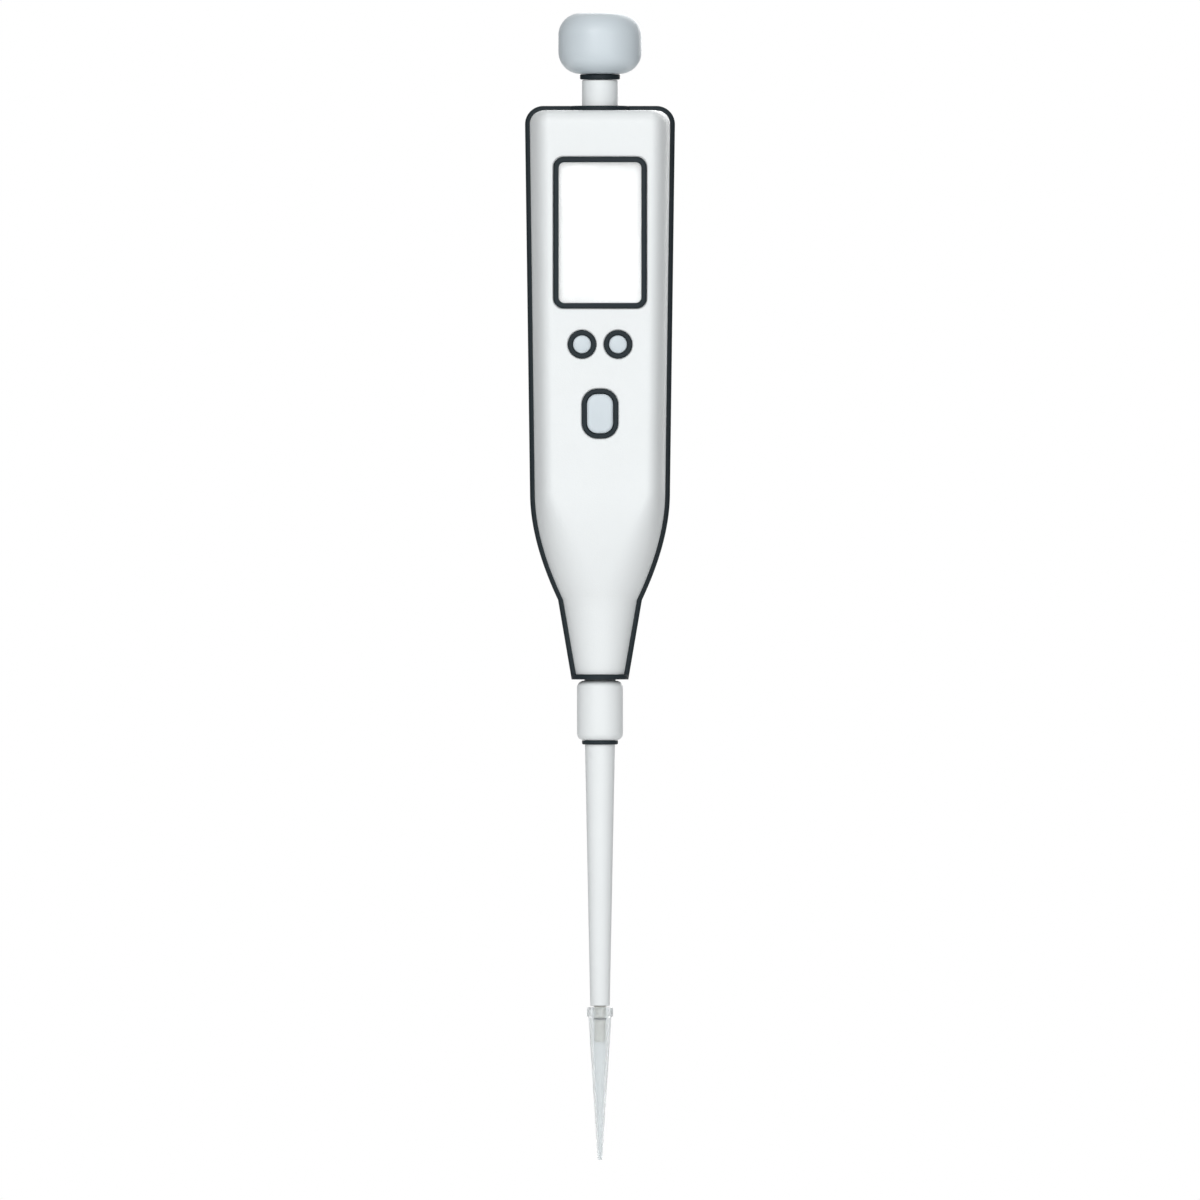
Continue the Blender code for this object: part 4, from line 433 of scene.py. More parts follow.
# %% Half width of the body at a height
TOP = 142.2
GRIP, NECK, FOOT = 17.5, 10.5, 7.1
WAIST_TOP, WAIST_BEND, WAIST_BOTTOM = 46.1, 34.4, 19.9
SHOULDER, SHOULDER_RADIUS = 138.8, 4.6
WIDENING = 1.25
TAPER = WIDENING / (SHOULDER - WAIST_TOP)


def bend(top, middle, bottom, share):
    """A value on a curve with one control point."""
    return (1 - share) ** 2 * top + 2 * share * (1 - share) * middle + share**2 * bottom


def waist_share(height):
    """0 at the top of the waist, 1 at its bottom."""
    if height >= WAIST_TOP:
        return 0.0
    if height <= WAIST_BOTTOM:
        return 1.0
    curve = WAIST_TOP - 2 * WAIST_BEND + WAIST_BOTTOM
    slope = 2 * (WAIST_BEND - WAIST_TOP)
    offset = WAIST_TOP - height
    return 2 * offset / (math.sqrt(slope * slope - 4 * curve * offset) - slope)


def half_width(height):
    """Half width of the body, out to the edge of the seal."""
    if height >= WAIST_TOP:
        return GRIP + (height - WAIST_TOP) * TAPER
    if height <= WAIST_BOTTOM:
        return FOOT + height * (NECK - FOOT) / WAIST_BOTTOM
    middle = GRIP - (WAIST_TOP - WAIST_BEND) * TAPER
    return bend(GRIP, middle, NECK, waist_share(height))


def levels(foot, top, cone_steps=6, waist_steps=28, side_steps=40):
    """Heights at which the body is drawn, close together round the waist."""
    cone = WAIST_BOTTOM - foot
    found = [foot + cone * step / cone_steps for step in range(cone_steps)]
    for step in range(waist_steps + 1):
        found.append(bend(WAIST_TOP, WAIST_BEND, WAIST_BOTTOM, 1 - step / waist_steps))
    for step in range(1, side_steps + 1):
        found.append(WAIST_TOP + (top - WAIST_TOP) * step / side_steps)
    return found


print("half widths:", [round(half_width(z), 2) for z in (0, 20, 33, 46, 138)])

# %% [markdown]
# ## The seal
#
# The dark line round the body is a rubber seal, clamped between the two shells and
# standing a little proud of them. Its outline is drawn by extruding one vertex,
# closed to a face and extruded to its thickness. Both faces are then inset and
# bridged, which turns the plate into a frame. A bevelled curve would be quicker,
# but round all over, and this seal is flat where the shells hold it. Only its outer
# edges are bevelled, because a moulded seal has no sharp edge.

# %% Draw the seal's outline and turn it into a frame
def pick_faces(piece, test):
    """Selects the faces whose middle and normal pass the test, in edit mode."""
    bpy.ops.object.mode_set(mode="EDIT")
    bpy.ops.mesh.select_mode(type="FACE")
    bpy.ops.object.mode_set(mode="OBJECT")
    for face in piece.data.polygons:
        face.select = bool(test(face.center, face.normal))
    bpy.ops.object.mode_set(mode="EDIT")


def swept(offset):
    """Extrudes what is selected, to the right, to the back and up."""
    away = {"value": Vector(offset) * MM}
    bpy.ops.mesh.extrude_region_move(TRANSFORM_OT_translate=away)


SEAL_HALF, SEAL_WIDTH, SEAL_ROUND = 1.2, 2.8, 1.0
side = [(half_width(z), z) for z in levels(0, SHOULDER)]
corner_at = half_width(SHOULDER) - SHOULDER_RADIUS
side += arc(corner_at, SHOULDER, SHOULDER_RADIUS, 0, 90, 14)
outline = side + [(-x, z) for x, z in reversed(side)]
seal = draw("body_seal", [at(x, -SEAL_HALF, z) for x, z in outline])
bpy.ops.mesh.select_all(action="SELECT")
bpy.ops.mesh.edge_face_add()
swept((0, 2 * SEAL_HALF, 0))
settle(seal)
pick_faces(seal, lambda middle, normal: abs(normal.y) > 0.9)
bpy.ops.mesh.inset(thickness=SEAL_WIDTH * MM, use_individual=True)
bpy.ops.mesh.bridge_edge_loops()
settle(seal)
print("seal faces:", len(seal.data.polygons))

# %% Round the seal's outer edges
def pick_edges(piece, test):
    """Selects the edges whose two ends pass the test, in edit mode."""
    bpy.ops.object.mode_set(mode="EDIT")
    bpy.ops.mesh.select_mode(type="EDGE")
    bpy.ops.mesh.select_all(action="DESELECT")
    bpy.ops.object.mode_set(mode="OBJECT")
    for edge in piece.data.edges:
        ends = [piece.data.vertices[i].co / MM for i in edge.vertices]
        edge.select = bool(test(*ends))
    bpy.ops.object.mode_set(mode="EDIT")


NEAR, SAME_DEPTH = 0.02, 0.01


def on_rim(place):
    """True for a place on the outer edge of the body's outline."""
    x, z = abs(place.x), place.z - FOOT_LEVEL
    return any(abs(x - rim_x) < NEAR and abs(z - rim_z) < NEAR for rim_x, rim_z in side)


def along_the_rim(start, end):
    return abs(start.y - end.y) < SAME_DEPTH and on_rim(start) and on_rim(end)


pick_edges(seal, along_the_rim)
bpy.ops.mesh.bevel(offset=SEAL_ROUND * MM, segments=6, affect="EDGES")
settle(seal)
print("seal faces with round edges:", len(seal.data.polygons))

# %% [markdown]
# The stem slides through a ring at the top of the seal, and the tube of the ejector
# through a ring at its foot. Seal and rings are one moulding. So both rings are
# turned, joined to the frame by a Boolean and bored by two more. Separate rings
# laid over the frame would leave faces inside each other.

# %% Add the two rings and bore them
def cut(piece, tool, operation="DIFFERENCE"):
    """Cuts one closed piece with another, takes the tool away and cleans the cut."""
    change(piece, "BOOLEAN", object=tool, operation=operation, solver="EXACT")
    bpy.data.objects.remove(tool)
    settle(piece)


def rod(name, radius, low, high, edge=0.0, **how):
    """A turned rod from one height to another, or from one depth to another."""
    section = [(0, low), (radius - edge, low), (radius, low + edge)]
    section += [(radius, high - edge), (radius - edge, high), (0, high)]
    return turned(name, section, **how)


STEM_RING, STEM_BORE = 7.3, 4.65
BASE_RING, TUBE_BORE = 7.1, 4.3
RING_EDGE = 0.2
cut(seal, rod("stem_ring", STEM_RING, 140.9, 143.4, RING_EDGE), "UNION")
cut(seal, rod("base_ring", BASE_RING, 0.0, 1.25, RING_EDGE), "UNION")
cut(seal, rod("stem_bore", STEM_BORE, 130.0, 150.0))
cut(seal, rod("tube_bore", TUBE_BORE, -5.0, 6.0))
done(seal, "housing", slate_rubber, "slate_rubber", "shell_seal")

# %% [markdown]
# ## The two half shells
#
# Each half shell is a smooth loft: the section changes from a soft box at the grip
# to a circle at the neck. A coarse cage with a Subdivision Surface would be as
# smooth, but it would only come near the drawn outline. So a grid primitive gives
# evenly spaced quads, and each of its vertices is moved to its place on the section
# at its height. The closed form, less a smaller core, leaves a wall of 1.6 mm, as
# in the mould.

# %% Section of a half shell
FRONT_DEPTH, REAR_DEPTH = 14.0, 16.0
PARTING = 1.25
FRONT_CORNER, REAR_CORNER = 5.2, 13.2
CORNER_SHARE = 0.38
GRIP_POWER, CIRCLE_POWER = 2.3, 2.0


def section_point(side_sign, height, inset, share):
    """A point on the skin. share runs from 0 on the right, over the middle, to 1."""
    full = FRONT_DEPTH if side_sign < 0 else REAR_DEPTH
    corner_width = FRONT_CORNER if side_sign < 0 else REAR_CORNER
    waist = waist_share(height)
    half = half_width(height) - SEAL_HALF
    deep = half if height <= WAIST_BOTTOM else bend(full, full, NECK - SEAL_HALF, waist)
    flat = (half - corner_width) * (1 - waist)
    power = GRIP_POWER * (1 - waist) + CIRCLE_POWER * waist
    half, deep = half - inset, deep - inset
    start = math.asin((PARTING / deep) ** (power / 2))
    turn = min(share, 1 - share) / CORNER_SHARE
    if turn >= 1:
        return (0.5 - share) / (0.5 - CORNER_SHARE) * flat, side_sign * deep
    angle = start + (math.pi / 2 - start) * turn
    x = flat + (half - flat) * max(math.cos(angle), 0) ** (2 / power)
    y = side_sign * deep * math.sin(angle) ** (2 / power)
    return (x if share < 0.5 else -x), y


print("front skin at the grip:", [round(v, 2) for v in section_point(-1, 80, 0, 0.2)])

# %% Loft a half body from a grid
SHELL_FOOT = 1.3
WALL = 1.6
EDGE = 3.4
CORE_FOOT, CORE_OVERRUN = -9.0, 6.0
ACROSS, EDGE_ROWS, TOP_ROWS = 76, 10, 6


def half_rows(inset, foot, top, edge):
    """Height, inset and reach of each row of the grid, from the foot to the top."""
    rows = [(foot, inset, 0.0), (foot, inset, 0.5)]
    rows += [(z, inset, 1.0) for z in levels(foot, top - edge)]
    for step in range(1, EDGE_ROWS + 1):
        angle = math.radians(90 * step / EDGE_ROWS)
        drawn_in = inset + edge * (1 - math.cos(angle))
        rows.append((top - edge * (1 - math.sin(angle)), drawn_in, 1.0))
    for step in range(1, TOP_ROWS + 1):
        rows.append((top, inset + edge, 1 - step / TOP_ROWS))
    return rows


def loft(name, side_sign, rows, overrun=0.0):
    """A closed half body. overrun moves its flat side past the seal."""
    bpy.ops.object.select_all(action="DESELECT")
    last = len(rows) - 1
    bpy.ops.mesh.primitive_grid_add(x_subdivisions=ACROSS, y_subdivisions=last, size=1)
    piece = bpy.context.object
    piece.name = piece.data.name = name
    flat_side = PARTING * side_sign
    for vertex in piece.data.vertices:
        height, drawn_in, reach = rows[round((vertex.co.y + 0.5) * last)]
        x, y = section_point(side_sign, height, drawn_in, vertex.co.x + 0.5)
        vertex.co = at(x, flat_side + (y - flat_side) * reach, height)
    bpy.ops.object.mode_set(mode="EDIT")
    bpy.ops.mesh.select_all(action="SELECT")
    bpy.ops.mesh.region_to_loop()
    if overrun:
        swept((0, -side_sign * overrun, 0))
    bpy.ops.mesh.edge_face_add()
    return settle(piece)


def half_body(name, side_sign):
    return loft(name, side_sign, half_rows(0.0, SHELL_FOOT, TOP, EDGE))


def half_core(side_sign):
    """What the mould's core takes out. It is longer than the shell at the foot."""
    rows = half_rows(WALL, CORE_FOOT, TOP - WALL, EDGE - WALL)
    return loft("core", side_sign, rows, CORE_OVERRUN)


# %% [markdown]
# A rounded plate serves many times: for the window, the keys, the pads and the
# tools that cut their openings. It is a plane whose corners are bevelled and which
# is then extruded. Bevelling a cube would round its corners and its edges alike. A
# tool gets a flared mouth, so the edge it leaves is broken by a small chamfer, as
# on a moulding.

# %% A rounded plate
PAST_THE_FACE = 2


def plate(name, x, height, half_x, half_z, corner, back, front, flare=0.0, steps=8):
    """A rounded plate from one depth to another, wider at its front by flare."""
    bpy.ops.object.select_all(action="DESELECT")
    bpy.ops.mesh.primitive_plane_add(
        size=2 * MM, location=at(x, back, height), rotation=(math.radians(90), 0, 0)
    )
    piece = bpy.context.object
    piece.name = piece.data.name = name
    piece.scale = (half_x, half_z, 1)
    bpy.ops.object.transform_apply(location=True, rotation=True, scale=True)
    bpy.ops.object.mode_set(mode="EDIT")
    bpy.ops.mesh.select_all(action="SELECT")
    bpy.ops.mesh.bevel(offset=corner * MM, segments=steps, affect="VERTICES")
    swept((0, front - back, 0))
    if flare:
        run = flare + PAST_THE_FACE
        swept((0, math.copysign(run, front - back), 0))
        bpy.ops.transform.resize(value=(1 + run / half_x, 1, 1 + run / half_z))
    return settle(piece)


# %% Copies, and several tools as one
def copied(piece, name, x, height):
    """A copy with a mesh of its own, moved to the right and up."""
    alone(piece)
    away = {"value": Vector((x, 0, height)) * MM}
    bpy.ops.object.duplicate_move(TRANSFORM_OT_translate=away)
    copy = bpy.context.object
    copy.name = copy.data.name = name
    return settle(copy)


def together(*tools):
    """Several separate tools as one, so that one cut does for all."""
    alone(tools[0])
    for tool in tools:
        tool.select_set(True)
    bpy.ops.object.join()
    return tools[0]


# %% [markdown]
# ## The front shell
#
# The display and the keys stand in openings of the flat front. Each opening is a
# little wider than what fills it. The grid could be laid out round them, but it
# would lose its even spacing, and with it the even light on the front. A Boolean
# leaves the rest as it is. The tools for the two round keys are the same, so one is
# turned and the other is its copy.

# %% Form, hollow and open the front shell
DISPLAY, KEYS, TRIGGER = 111.6, 83.7, 66.4
KEY_SPACING = 9.0
FACE = -FRONT_DEPTH
INSIDE, CHAMFER_FROM, CHAMFER_TO = -9.0, FACE + 0.25, FACE - 1.75
FLARE = 0.2
front = half_body("front_shell_skin", -1)
cut(front, half_core(-1))
depths = (INSIDE, CHAMFER_FROM, FLARE)
display_opening = plate("opening", 0, DISPLAY, 11.7, 18.95, 2.6, *depths)
trigger_opening = plate("opening", 0, TRIGGER, 4.57, 6.22, 3.92, *depths, 12)
mouth = [(0, INSIDE), (3.57, INSIDE), (3.57, CHAMFER_FROM)]
mouth += [(5.57, CHAMFER_TO), (0, CHAMFER_TO)]
left_opening = turned("opening", mouth, 64, (-KEY_SPACING / 2, KEYS))
right_opening = copied(left_opening, "opening", KEY_SPACING, 0)
cut(front, together(display_opening, trigger_opening, left_opening, right_opening))
NOTCH_RADIUS, NOTCH_LOW, NOTCH_HIGH = 7.35, 138.0, 150.0
cut(front, rod("stem_notch", NOTCH_RADIUS, NOTCH_LOW, NOTCH_HIGH))
done(front, "housing", pale_plastic, "pale_shell", "front_shell")

# %% [markdown]
# ## The rear shell
#
# The back has two flat pads, one for the finger hook and one for the charging
# contacts, four screw recesses and the battery opening. The grid could carry the
# pads itself, but only with many more rows and columns. So they are plates, joined
# on before the core is taken out, and everything else is cut at the end.

# %% Form and hollow the rear shell
BACK = REAR_DEPTH
SCREWS = [(-12.0, 136.0), (12.0, 136.0), (-9.6, 52.0), (9.6, 52.0)]
CONTACTS = [(-3.5, 56.5), (3.5, 56.5)]
PADS = [(120.75, 8.0, 7.55), (56.5, 6.4, 4.0)]
PAD_CORNER, PAD_ROOT, PAD_FACE = 1.2, 13.0, BACK + 0.6
BEHIND = 30.0


def spread(piece, places):
    """Copies of a piece that stands at the first place, one for each place."""
    first_x, first_height = places[0]
    copies = [
        copied(piece, f"{piece.name}_{number}", x - first_x, height - first_height)
        for number, (x, height) in enumerate(places[1:], 2)
    ]
    return [piece] + copies


rear = half_body("rear_shell_skin", 1)
rear_core = half_core(1)
post = rod("post", 2.9, 8.6, BEHIND, steps=48, middle=SCREWS[0])
for tool in spread(post, SCREWS):
    cut(rear_core, tool)
for height, half_x, half_z in PADS:
    pad = plate("pad", 0, height, half_x, half_z, PAD_CORNER, PAD_ROOT, PAD_FACE)
    soften(pad, 0.3)
    cut(rear, pad, "UNION")
cut(rear, rear_core)

# %% Open the rear shell
screw_hole = [(0, 5.0), (1.1, 5.0), (1.1, 9.9), (2.0, 9.9), (2.0, BEHIND), (0, BEHIND)]
contact_hole = [(0, 5.0), (1.4, 5.0), (1.4, BACK + 0.4), (2.4, BACK + 1.4)]
contact_hole += [(0, BACK + 1.4)]
tools = spread(turned("screw_hole", screw_hole, 48, SCREWS[0]), SCREWS)
tools += spread(turned("contact_hole", contact_hole, 48, CONTACTS[0]), CONTACTS)
cover_low, cover_high = reach_of("battery_cover")
COVER = (cover_low.z + cover_high.z) / 2
COVER_HALF = (cover_high.z - cover_low.z) / 2
COVER_GAP = 0.15
tools.append(plate("opening", 0, COVER, 11.35, COVER_HALF + COVER_GAP, 1.6, 6.0, BEHIND))
cut(rear, together(*tools))
cut(rear, rod("stem_notch", NOTCH_RADIUS, NOTCH_LOW, NOTCH_HIGH))
done(rear, "housing", pale_plastic, "pale_shell", "rear_shell")

# %% [markdown]
# ## The battery cover
#
# The cover is the piece of wall that the opening takes out. A plate, bent to fit,
# would never meet the wall all round. So the cover comes from the same half body,
# and its skin runs on across the gap without a step. A round dent near its top gives
# the finger nail a hold.

# %% Form the battery cover
cover = half_body("battery_cover_skin", 1)
cover_outline = plate("keep", 0, COVER, 11.2, COVER_HALF, 1.45, 6.0, BEHIND)
cut(cover, cover_outline, "INTERSECT")
cut(cover, half_core(1))
dent = [(0, BACK - 0.7), (4.6, BACK - 0.7)] + arc(4.6, BACK + 0.9, 1.6, -90, -25, 6)
dent += [(8.0, BACK + 4), (0, BACK + 4)]
cut(cover, turned("dent", dent, 64, (0, cover_high.z - 6.0 - WALL)))
done(cover, "cover", pale_plastic, "pale_shell", "battery_cover")

# %% [markdown]
# ## Screws and charging contacts
#
# Four screws clamp the shells. Each has a round head with a hexagon socket, whose
# mouth is chamfered so that the key finds its way. A cylinder of six sides would cut
# the socket without that chamfer. So the tool is turned like the rest, in only six
# steps, which makes it a hexagon. One screw is modelled and copied, and so is one
# of the two contacts, a gold-plated pin with a soft edge.

# %% Turn a screw and a contact, and copy them
steel, steel_shader = finish_of("steel", (0.60, 0.61, 0.62), Metallic=1.0)
polish(steel, steel_shader, 1.5, 0.22, 0.38, (1, 1, 6))
screw_section = [(0, -10.5), (0.5, -10.5), (0.8, -10.2), (0.8, 10.2), (1.7, 10.2)]
screw_section += arc(1.0, 10.9, 0.7, 0, 90, 6) + [(0, 11.6)]
screw = turned("screw", screw_section, 48, SCREWS[0])
socket = [(0, 10.67), (0.9, 10.67), (0.9, 11.42), (1.4, 11.92), (0, 11.92)]
cut(screw, turned("socket", socket, 6, SCREWS[0]))
for number, copy in enumerate(spread(screw, SCREWS), 1):
    done(copy, "housing", steel, "steel", f"body_screw_{number}")

gold, gold_shader = finish_of("gold_plate", (0.85, 0.62, 0.25), Metallic=1.0)
polish(gold, gold_shader, 1.2, 0.15, 0.30)
contact_section = [(0, 13.3), (2.2, 13.3), (2.2, 14.1), (1.3, 14.1), (1.3, 16.1)]
contact_section += arc(1.0, 16.1, 0.3, 0, 90, 5) + [(0, 16.4)]
contact = turned("contact", contact_section, 48, CONTACTS[0])
for copy, which in zip(spread(contact, CONTACTS), ("left", "right")):
    done(copy, "housing", gold, "gold_plate", f"charge_contact_{which}")

# %% [markdown]
# ## The ejector's spring
#
# A steel coil inside the body lifts the knob and the sleeve again. A Screw modifier
# would climb evenly, but a real spring has a closed turn at each end. So its wire is
# drawn as a line round the axis, point by point. The line is then made a curve,
# because a curve's bevel gives it an even thickness without sweeping a section by
# hand. A working part keeps its shape, and this skin gets a mesh of its own.

# %% Draw the coil
COIL_RADIUS, WIRE, TURNS, STEPS_A_TURN = 4.7, 0.45, 6, 24
CLOSED_PITCH = 2 * WIRE + 0.1
spring_low, spring_high = reach_of("ejector_spring")
spring_length = spring_high.z - spring_low.z
open_pitch = (spring_length - 2 * WIRE - 2 * CLOSED_PITCH) / (TURNS - 2)


def on_the_coil(turns):
    """A place on the middle of the wire, so many turns above the foot."""
    climb = CLOSED_PITCH * (min(turns, 1) + max(turns - TURNS + 1, 0))
    climb += open_pitch * min(max(turns - 1, 0), TURNS - 2)
    angle = math.tau * turns
    x, depth = COIL_RADIUS * math.cos(angle), COIL_RADIUS * math.sin(angle)
    return at(x, depth, spring_low.z + WIRE + climb)


coil_steps = range(STEPS_A_TURN * TURNS + 1)
coil = draw("ejector_coil", [on_the_coil(step / STEPS_A_TURN) for step in coil_steps])
bpy.ops.object.mode_set(mode="OBJECT")
bpy.ops.object.convert(target="CURVE")
coil.data.bevel_depth = WIRE * MM
coil.data.bevel_resolution = 2
coil.data.use_fill_caps = True
bpy.ops.object.convert(target="MESH")
settle(coil)
done(coil, "housing", steel, "steel", "ejector_spring")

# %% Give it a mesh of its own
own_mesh(coil)

# %% [markdown]
# ## The display
#
# A rubber bezel frames a clear window with a blank white panel behind it. One
# glossy white face would do from far away. The window is a real plate with a
# thickness, so that its edge and its reflections show, and the panel lies behind
# it as a display does.

# %% Bezel and window
bezel = plate("bezel", 0, DISPLAY, 11.625, 18.875, 2.5, -12.7, -14.7)
soften(bezel, 0.45, 4)
cut(bezel, plate("inside", 0, DISPLAY, 10.325, 17.575, 1.4, -10.0, -20.0))
soften(bezel, 0.18, 2, 60)
done(bezel, "housing", slate_rubber, "slate_rubber", "display_bezel")
window = plate("window", 0, DISPLAY, 10.25, 17.5, 1.3, -12.7, -14.3)
soften(window, 0.2, 3)
done(window, "housing", window_plastic, "clear_window", "display_window")

# %% [markdown]
# ## The keypad
#
# One rubber sheet lies behind the front wall, and a ring of it stands round each
# key, through the wall. Torus rings laid on the sheet would be pieces of their own,
# and the sheet is one moulding. So the rings are joined to it as solid pads, and
# each bore is cut with a mouth that curves outwards, which rounds the ring's inner
# edge.

# %% Sheet and rings
keypad = plate("keypad_skin", 0, 74.025, 9.4, 15.675, 1.0, -11.7, -12.1)
pad_section = [(0, -11.9), (3.5, -11.9)] + arc(3.2, -14.2, 0.3, 0, -90, 6) + [(0, -14.5)]
bore_section = [(0, -8.0), (2.33, -8.0)] + arc(2.6, -14.23, 0.27, 180, 270, 5)
bore_section += [(3.2, -16.0), (0, -16.0)]
LEFT_AND_RIGHT = [(-KEY_SPACING / 2, KEYS), (KEY_SPACING / 2, KEYS)]
pads = spread(turned("ring", pad_section, 64, LEFT_AND_RIGHT[0]), LEFT_AND_RIGHT)
pads.append(plate("trigger_ring", 0, TRIGGER, 4.5, 6.15, 3.85, -11.9, -14.5, steps=14))
soften(pads[-1], 0.3, 4)
bores = spread(turned("bore", bore_section, 64, LEFT_AND_RIGHT[0]), LEFT_AND_RIGHT)
bores.append(plate("trigger_bore", 0, TRIGGER, 3.33, 4.98, 2.68, -8.0, -14.3, 0.1, 12))
cut(keypad, together(*pads), "UNION")
cut(keypad, together(*bores))
done(keypad, "housing", slate_rubber, "slate_rubber", "keypad")

# %% [markdown]
# ## The keys
#
# Each key is a cap with a flange that the sheet holds in. A button without its
# flange would look the same from outside, but it would fall out. The two round keys
# are turned with a dome, one model and its copy. The key below them starts filling
# and emptying. It isn't round, so it is a soft-edged plate, joined to its flange.

# %% Caps with their flanges
cap = [(0, -10.95), (2.95, -10.95), (2.95, -11.4), (2.25, -11.4), (2.25, -14.35)]
cap += arc(1.6, -14.35, 0.65, 0, -60, 5) + [(1.1, -14.99), (0.55, -15.0), (0, -15.0)]
key = turned("key_cap", cap, 64, LEFT_AND_RIGHT[0])
for copy, which in zip(spread(key, LEFT_AND_RIGHT), ("left", "right")):
    body = f"key_{which}"
    done(copy, body, blue_grey_plastic, "blue_grey_plastic", body)
trigger = plate("trigger_cap", 0, TRIGGER, 3.25, 4.9, 2.6, -11.2, -15.5, steps=12)
soften(trigger, 0.8, 6)
flange = plate("flange", 0, TRIGGER, 3.95, 5.6, 3.3, -10.95, -11.4, steps=12)
cut(trigger, flange, "UNION")
done(trigger, "trigger", blue_grey_plastic, "blue_grey_plastic", "trigger_key")

# %% [markdown]
# ## The finger hook
#
# The hook rests on the forefinger, and it also hangs on the rail of a stand. It is
# as wide at its root as at its end. So it needs no sculpting: its side view is
# drawn, filled and extruded to its width, and its edges are rounded.

# %% Draw the hook
hook_line = [(16.9, 113.5), (19.1, 113.5), (19.1, 118.0), (32.1, 118.0), (32.1, 112.5)]
hook_line += [(35.5, 112.5)] + arc(31.1, 118.6, 4.4, 0, 90, 12)
hook_line += arc(24.1, 128.0, 5.0, 270, 180, 12) + [(16.9, 128.0)]
HOOK_HALF = 8.6
hook = draw("hook", [at(-HOOK_HALF, depth, height) for depth, height in hook_line])
bpy.ops.mesh.select_all(action="SELECT")
bpy.ops.mesh.edge_face_add()
swept((2 * HOOK_HALF, 0, 0))
settle(hook)
soften(hook, 0.6, 4, 30)
done(hook, "housing", blue_grey_plastic, "blue_grey_plastic", "finger_hook")

# %% [markdown]
# ## The disposable tip
#
# The drawing shows the tip in dashes, because it is put on for one use. It is a
# thin cone of clear soft plastic with a stiffer rim. Fine ribs on the rim keep it
# from splitting when it is pushed on. They could be twelve small boxes, joined on,
# but they would need twelve cuts in a very thin wall. So they are pairs of the rim's
# own faces, inset and raised, which leaves each rib with the small draft that a
# mould needs.

# %% Turn the tip and raise its ribs
tip_section = [(0.3, -120.05), (0.6, -120.05), (2.85, -84.5), (3.1, -84.2), (3.1, -82.0)]
tip_section += [(2.95, -81.85), (1.9, -81.85), (1.6, -91.2), (0.3, -120.05)]
tip = turned("tip_cone", tip_section)
RIBS = 12
RIB_ANGLE = 7.5
BAND_LOW, BAND_HIGH, BAND_RADIUS = -84.1, -82.1, 3.0


def on_a_rib(middle, normal):
    """True for two of the eight faces between one rib and the next."""
    place = (middle - at(0, 0, 0)) / MM
    outside = math.hypot(place.x, place.y) > BAND_RADIUS
    turn = math.degrees(math.atan2(place.y, place.x)) % (360 / RIBS)
    return BAND_LOW < place.z < BAND_HIGH and outside and turn < RIB_ANGLE


pick_faces(tip, on_a_rib)
bpy.ops.mesh.inset(thickness=0.08 * MM, depth=0.13 * MM)
settle(tip)
done(tip, "tip", tip_plastic, "tip_plastic", "pipette_tip")

# %% [markdown]
# ## Finishes of the parts that stay
#
# The working parts inside keep their shape and get a finish each. They could stay
# plain, since the shells hide most of them, but the battery shows when its cover is
# off, and the ejector's tube when the knob is down. The finish goes by the part's
# own slot. The winding's grain is stretched round the coil, so it looks like wire.

# %% Give every remaining part its finish
panel_white = moulded("display_white", (0.95, 0.95, 0.95), (0.5, 0.6), (0.25, 0.004), 0.005)
motor_steel, motor_shader = finish_of("motor_steel", (0.50, 0.51, 0.53), Metallic=1.0)
polish(motor_steel, motor_shader, 2.5, 0.3, 0.5)
brass, brass_shader = finish_of("brass", (0.72, 0.52, 0.22), Metallic=1.0)
polish(brass, brass_shader, 2.0, 0.25, 0.42)
copper, copper_shader = finish_of("copper_winding", (0.70, 0.33, 0.18), Metallic=1.0)
grain(copper, copper_shader, 0.3, 0.08, 0.8, (0.1, 0.1, 1))
polish(copper, copper_shader, 1.0, 0.3, 0.5)
board_green = moulded("board_green", (0.02, 0.16, 0.07), (0.30, 0.45), (0.6, 0.01), 0.2)
grey_plastic = moulded("grey_plastic", (0.25, 0.27, 0.28), (0.45, 0.60))
battery_wrap = moulded("battery_wrap", (0.05, 0.15, 0.35), (0.20, 0.35), (1.5, 0.02), 0.06)
FINISH_OF_SLOT = {
    "pale_shell": pale_plastic, "blue_grey_plastic": blue_grey_plastic,
    "slate_rubber": slate_rubber, "display_white": panel_white,
    "clear_window": window_plastic, "tip_plastic": tip_plastic, "steel": steel,
    "motor_steel": motor_steel, "brass": brass, "gold_plate": gold,
    "copper_winding": copper, "board_green": board_green, "grey_frame": grey_plastic,
    "cream_acetal": cream_plastic, "battery_wrap": battery_wrap,
}
for part in frame["record"]["subparts"]:
    node = nodes[part["node"]]
    node.data.materials.clear()
    node.data.materials.append(FINISH_OF_SLOT[part["material_slot"]])
print("parts with a finish:", sum(1 for n in nodes.values() if n.data.materials))

# %% [markdown]
# ## The white backdrop
#
# The background of the picture is white. A white wall behind the part would catch
# its shadow, and it would stand in the way when the camera goes round. So there is
# no wall. The world is white where the camera looks at it, directly or through a
# clear piece, and much softer where it lights the part. Towards the left and the
# right it gets darker, for the light and for the reflections. That is what a
# photographer does with two black cards beside a pale bottle: its round sides get a
# darker edge and stand out against the white.

# %% Helpers for sums of nodes
def computed(owner, operation, *sources):
    """The result of one sum, such as MAXIMUM, over one or two sources."""
    node = add_node(owner, "ShaderNodeMath")
    node.operation = operation
    for source, target in zip(sources, node.inputs):
        wire(owner, source, target)
    return node.outputs[0]


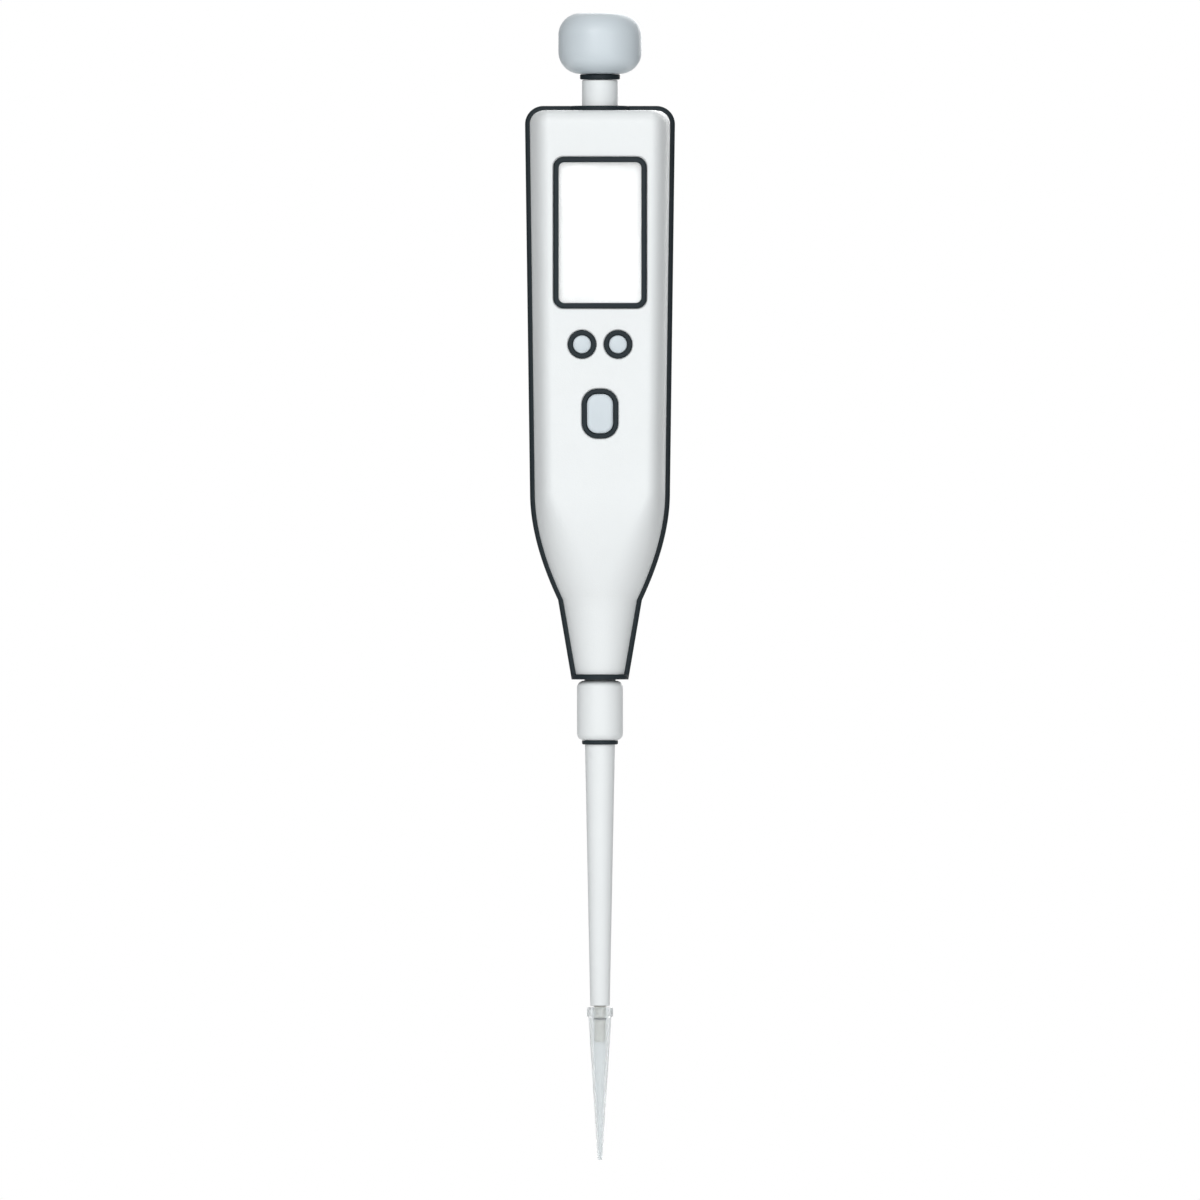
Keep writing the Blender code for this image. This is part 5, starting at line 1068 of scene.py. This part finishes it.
def between(owner, source, start, end, low, high):
    """Maps a source from one range to another. low and high may be sources too."""
    node = add_node(owner, "ShaderNodeMapRange", From_Min=start, From_Max=end)
    wire(owner, source, node.inputs["Value"])
    for name, value in (("To Min", low), ("To Max", high)):
        if isinstance(value, float):
            node.inputs[name].default_value = value
        else:
            wire(owner, value, node.inputs[name])
    return node.outputs["Result"]


# %% The world
LIGHT_AHEAD, LIGHT_ASIDE = 0.46, 0.16
CARD_STARTS, CARD_FULL, CARD_GREY = 0.25, 0.6, 0.15
world = bpy.data.worlds.new("studio")
bpy.context.scene.world = world
world.use_nodes = True
background = world.node_tree.nodes["Background"]
background.inputs["Color"].default_value = (1, 1, 1, 1)
world_ray = add_node(world, "ShaderNodeLightPath").outputs
direction = add_node(world, "ShaderNodeTexCoord").outputs["Generated"]
axes = add_node(world, "ShaderNodeSeparateXYZ")
wire(world, direction, axes.inputs["Vector"])
sideways = computed(world, "ABSOLUTE", axes.outputs["X"])
lighting = between(world, sideways, 0.0, 1.0, LIGHT_AHEAD, LIGHT_ASIDE)
mirrored = between(world, sideways, CARD_STARTS, CARD_FULL, 1.0, CARD_GREY)
indirect = between(world, world_ray["Is Glossy Ray"], 0.0, 1.0, lighting, mirrored)
looked_at = computed(
    world, "MAXIMUM", world_ray["Is Camera Ray"], world_ray["Is Transmission Ray"]
)
strength = between(world, looked_at, 0.0, 1.0, indirect, 1.0)
wire(world, strength, background.inputs["Strength"])
print("world nodes:", len(world.node_tree.nodes))

# %% [markdown]
# ## The floor
#
# The floor is a plain pale disc a little below the tip. A very large floor would
# show a horizon. This one shows the part's shadow near its middle, and it glows up
# to white towards its rim, so its edge never shows.

# %% The floor
FLOOR_RADIUS, FLOOR_LEVEL = 0.6, -145.0
GLOW_STARTS, GLOW_FULL, MIDDLE_GLOW = 0.15, 0.5, 0.36
bpy.ops.object.select_all(action="DESELECT")
bpy.ops.mesh.primitive_circle_add(
    vertices=96, radius=FLOOR_RADIUS, fill_type="NGON", location=at(0, 0, FLOOR_LEVEL)
)
floor = bpy.context.object
floor.name = floor.data.name = "floor"
paint, paint_shader = finish_of("floor_paint", (0.80, 0.80, 0.80), Roughness=0.9)
paint_shader.inputs["Emission Color"].default_value = (1, 1, 1, 1)
distance = paint.node_tree.nodes.new("ShaderNodeVectorMath")
distance.operation = "LENGTH"
wire(paint, add_node(paint, "ShaderNodeTexCoord").outputs["Object"], distance.inputs[0])
from_middle = distance.outputs["Value"]
glow = between(paint, from_middle, GLOW_STARTS, GLOW_FULL, MIDDLE_GLOW, 1.0)
floor_ray = add_node(paint, "ShaderNodeLightPath").outputs
direct = computed(paint, "MAXIMUM", floor_ray["Is Camera Ray"], floor_ray["Is Glossy Ray"])
in_view = computed(paint, "MAXIMUM", direct, floor_ray["Is Transmission Ray"])
emission = computed(paint, "MULTIPLY", glow, in_view)
wire(paint, emission, paint_shader.inputs["Emission Strength"])
grain(paint, paint_shader, 1.5, 0.05, 0.2)
floor.data.materials.append(paint)
print("floor radius in m:", FLOOR_RADIUS)

# %% [markdown]
# ## The lamps
#
# Three large soft lamps: the main one from the upper left of the front, a weaker
# one from the right and one from behind, which keeps the back readable. Small lamps
# would draw hard edges on the pale body, which the picture doesn't have.

# %% The lamps
AIM_HEIGHT = 20


def lamp(name, place, power, width, height):
    """A soft rectangular lamp that points at the middle of the part."""
    data = bpy.data.lights.new(name, "AREA")
    data.shape = "RECTANGLE"
    data.size, data.size_y = width, height
    data.energy = power
    holder = bpy.data.objects.new(name, data)
    bpy.context.scene.collection.objects.link(holder)
    holder.location = place
    aim = at(0, 0, AIM_HEIGHT) - Vector(place)
    holder.rotation_euler = aim.to_track_quat("-Z", "Y").to_euler()


lamp("main_lamp", (-0.5, -1.6, 0.6), 15.0, 1.0, 1.2)
lamp("side_lamp", (0.6, -1.5, 0.1), 5.5, 0.8, 1.2)
lamp("back_lamp", (0.5, 1.6, 0.6), 16.0, 1.2, 1.2)

# %% [markdown]
# ## The view transform
#
# The picture is seen through the Standard view transform. The dressed part has to
# stay inside the box of the working parts.

# %% The view transform
bpy.context.scene.view_settings.view_transform = "Standard"
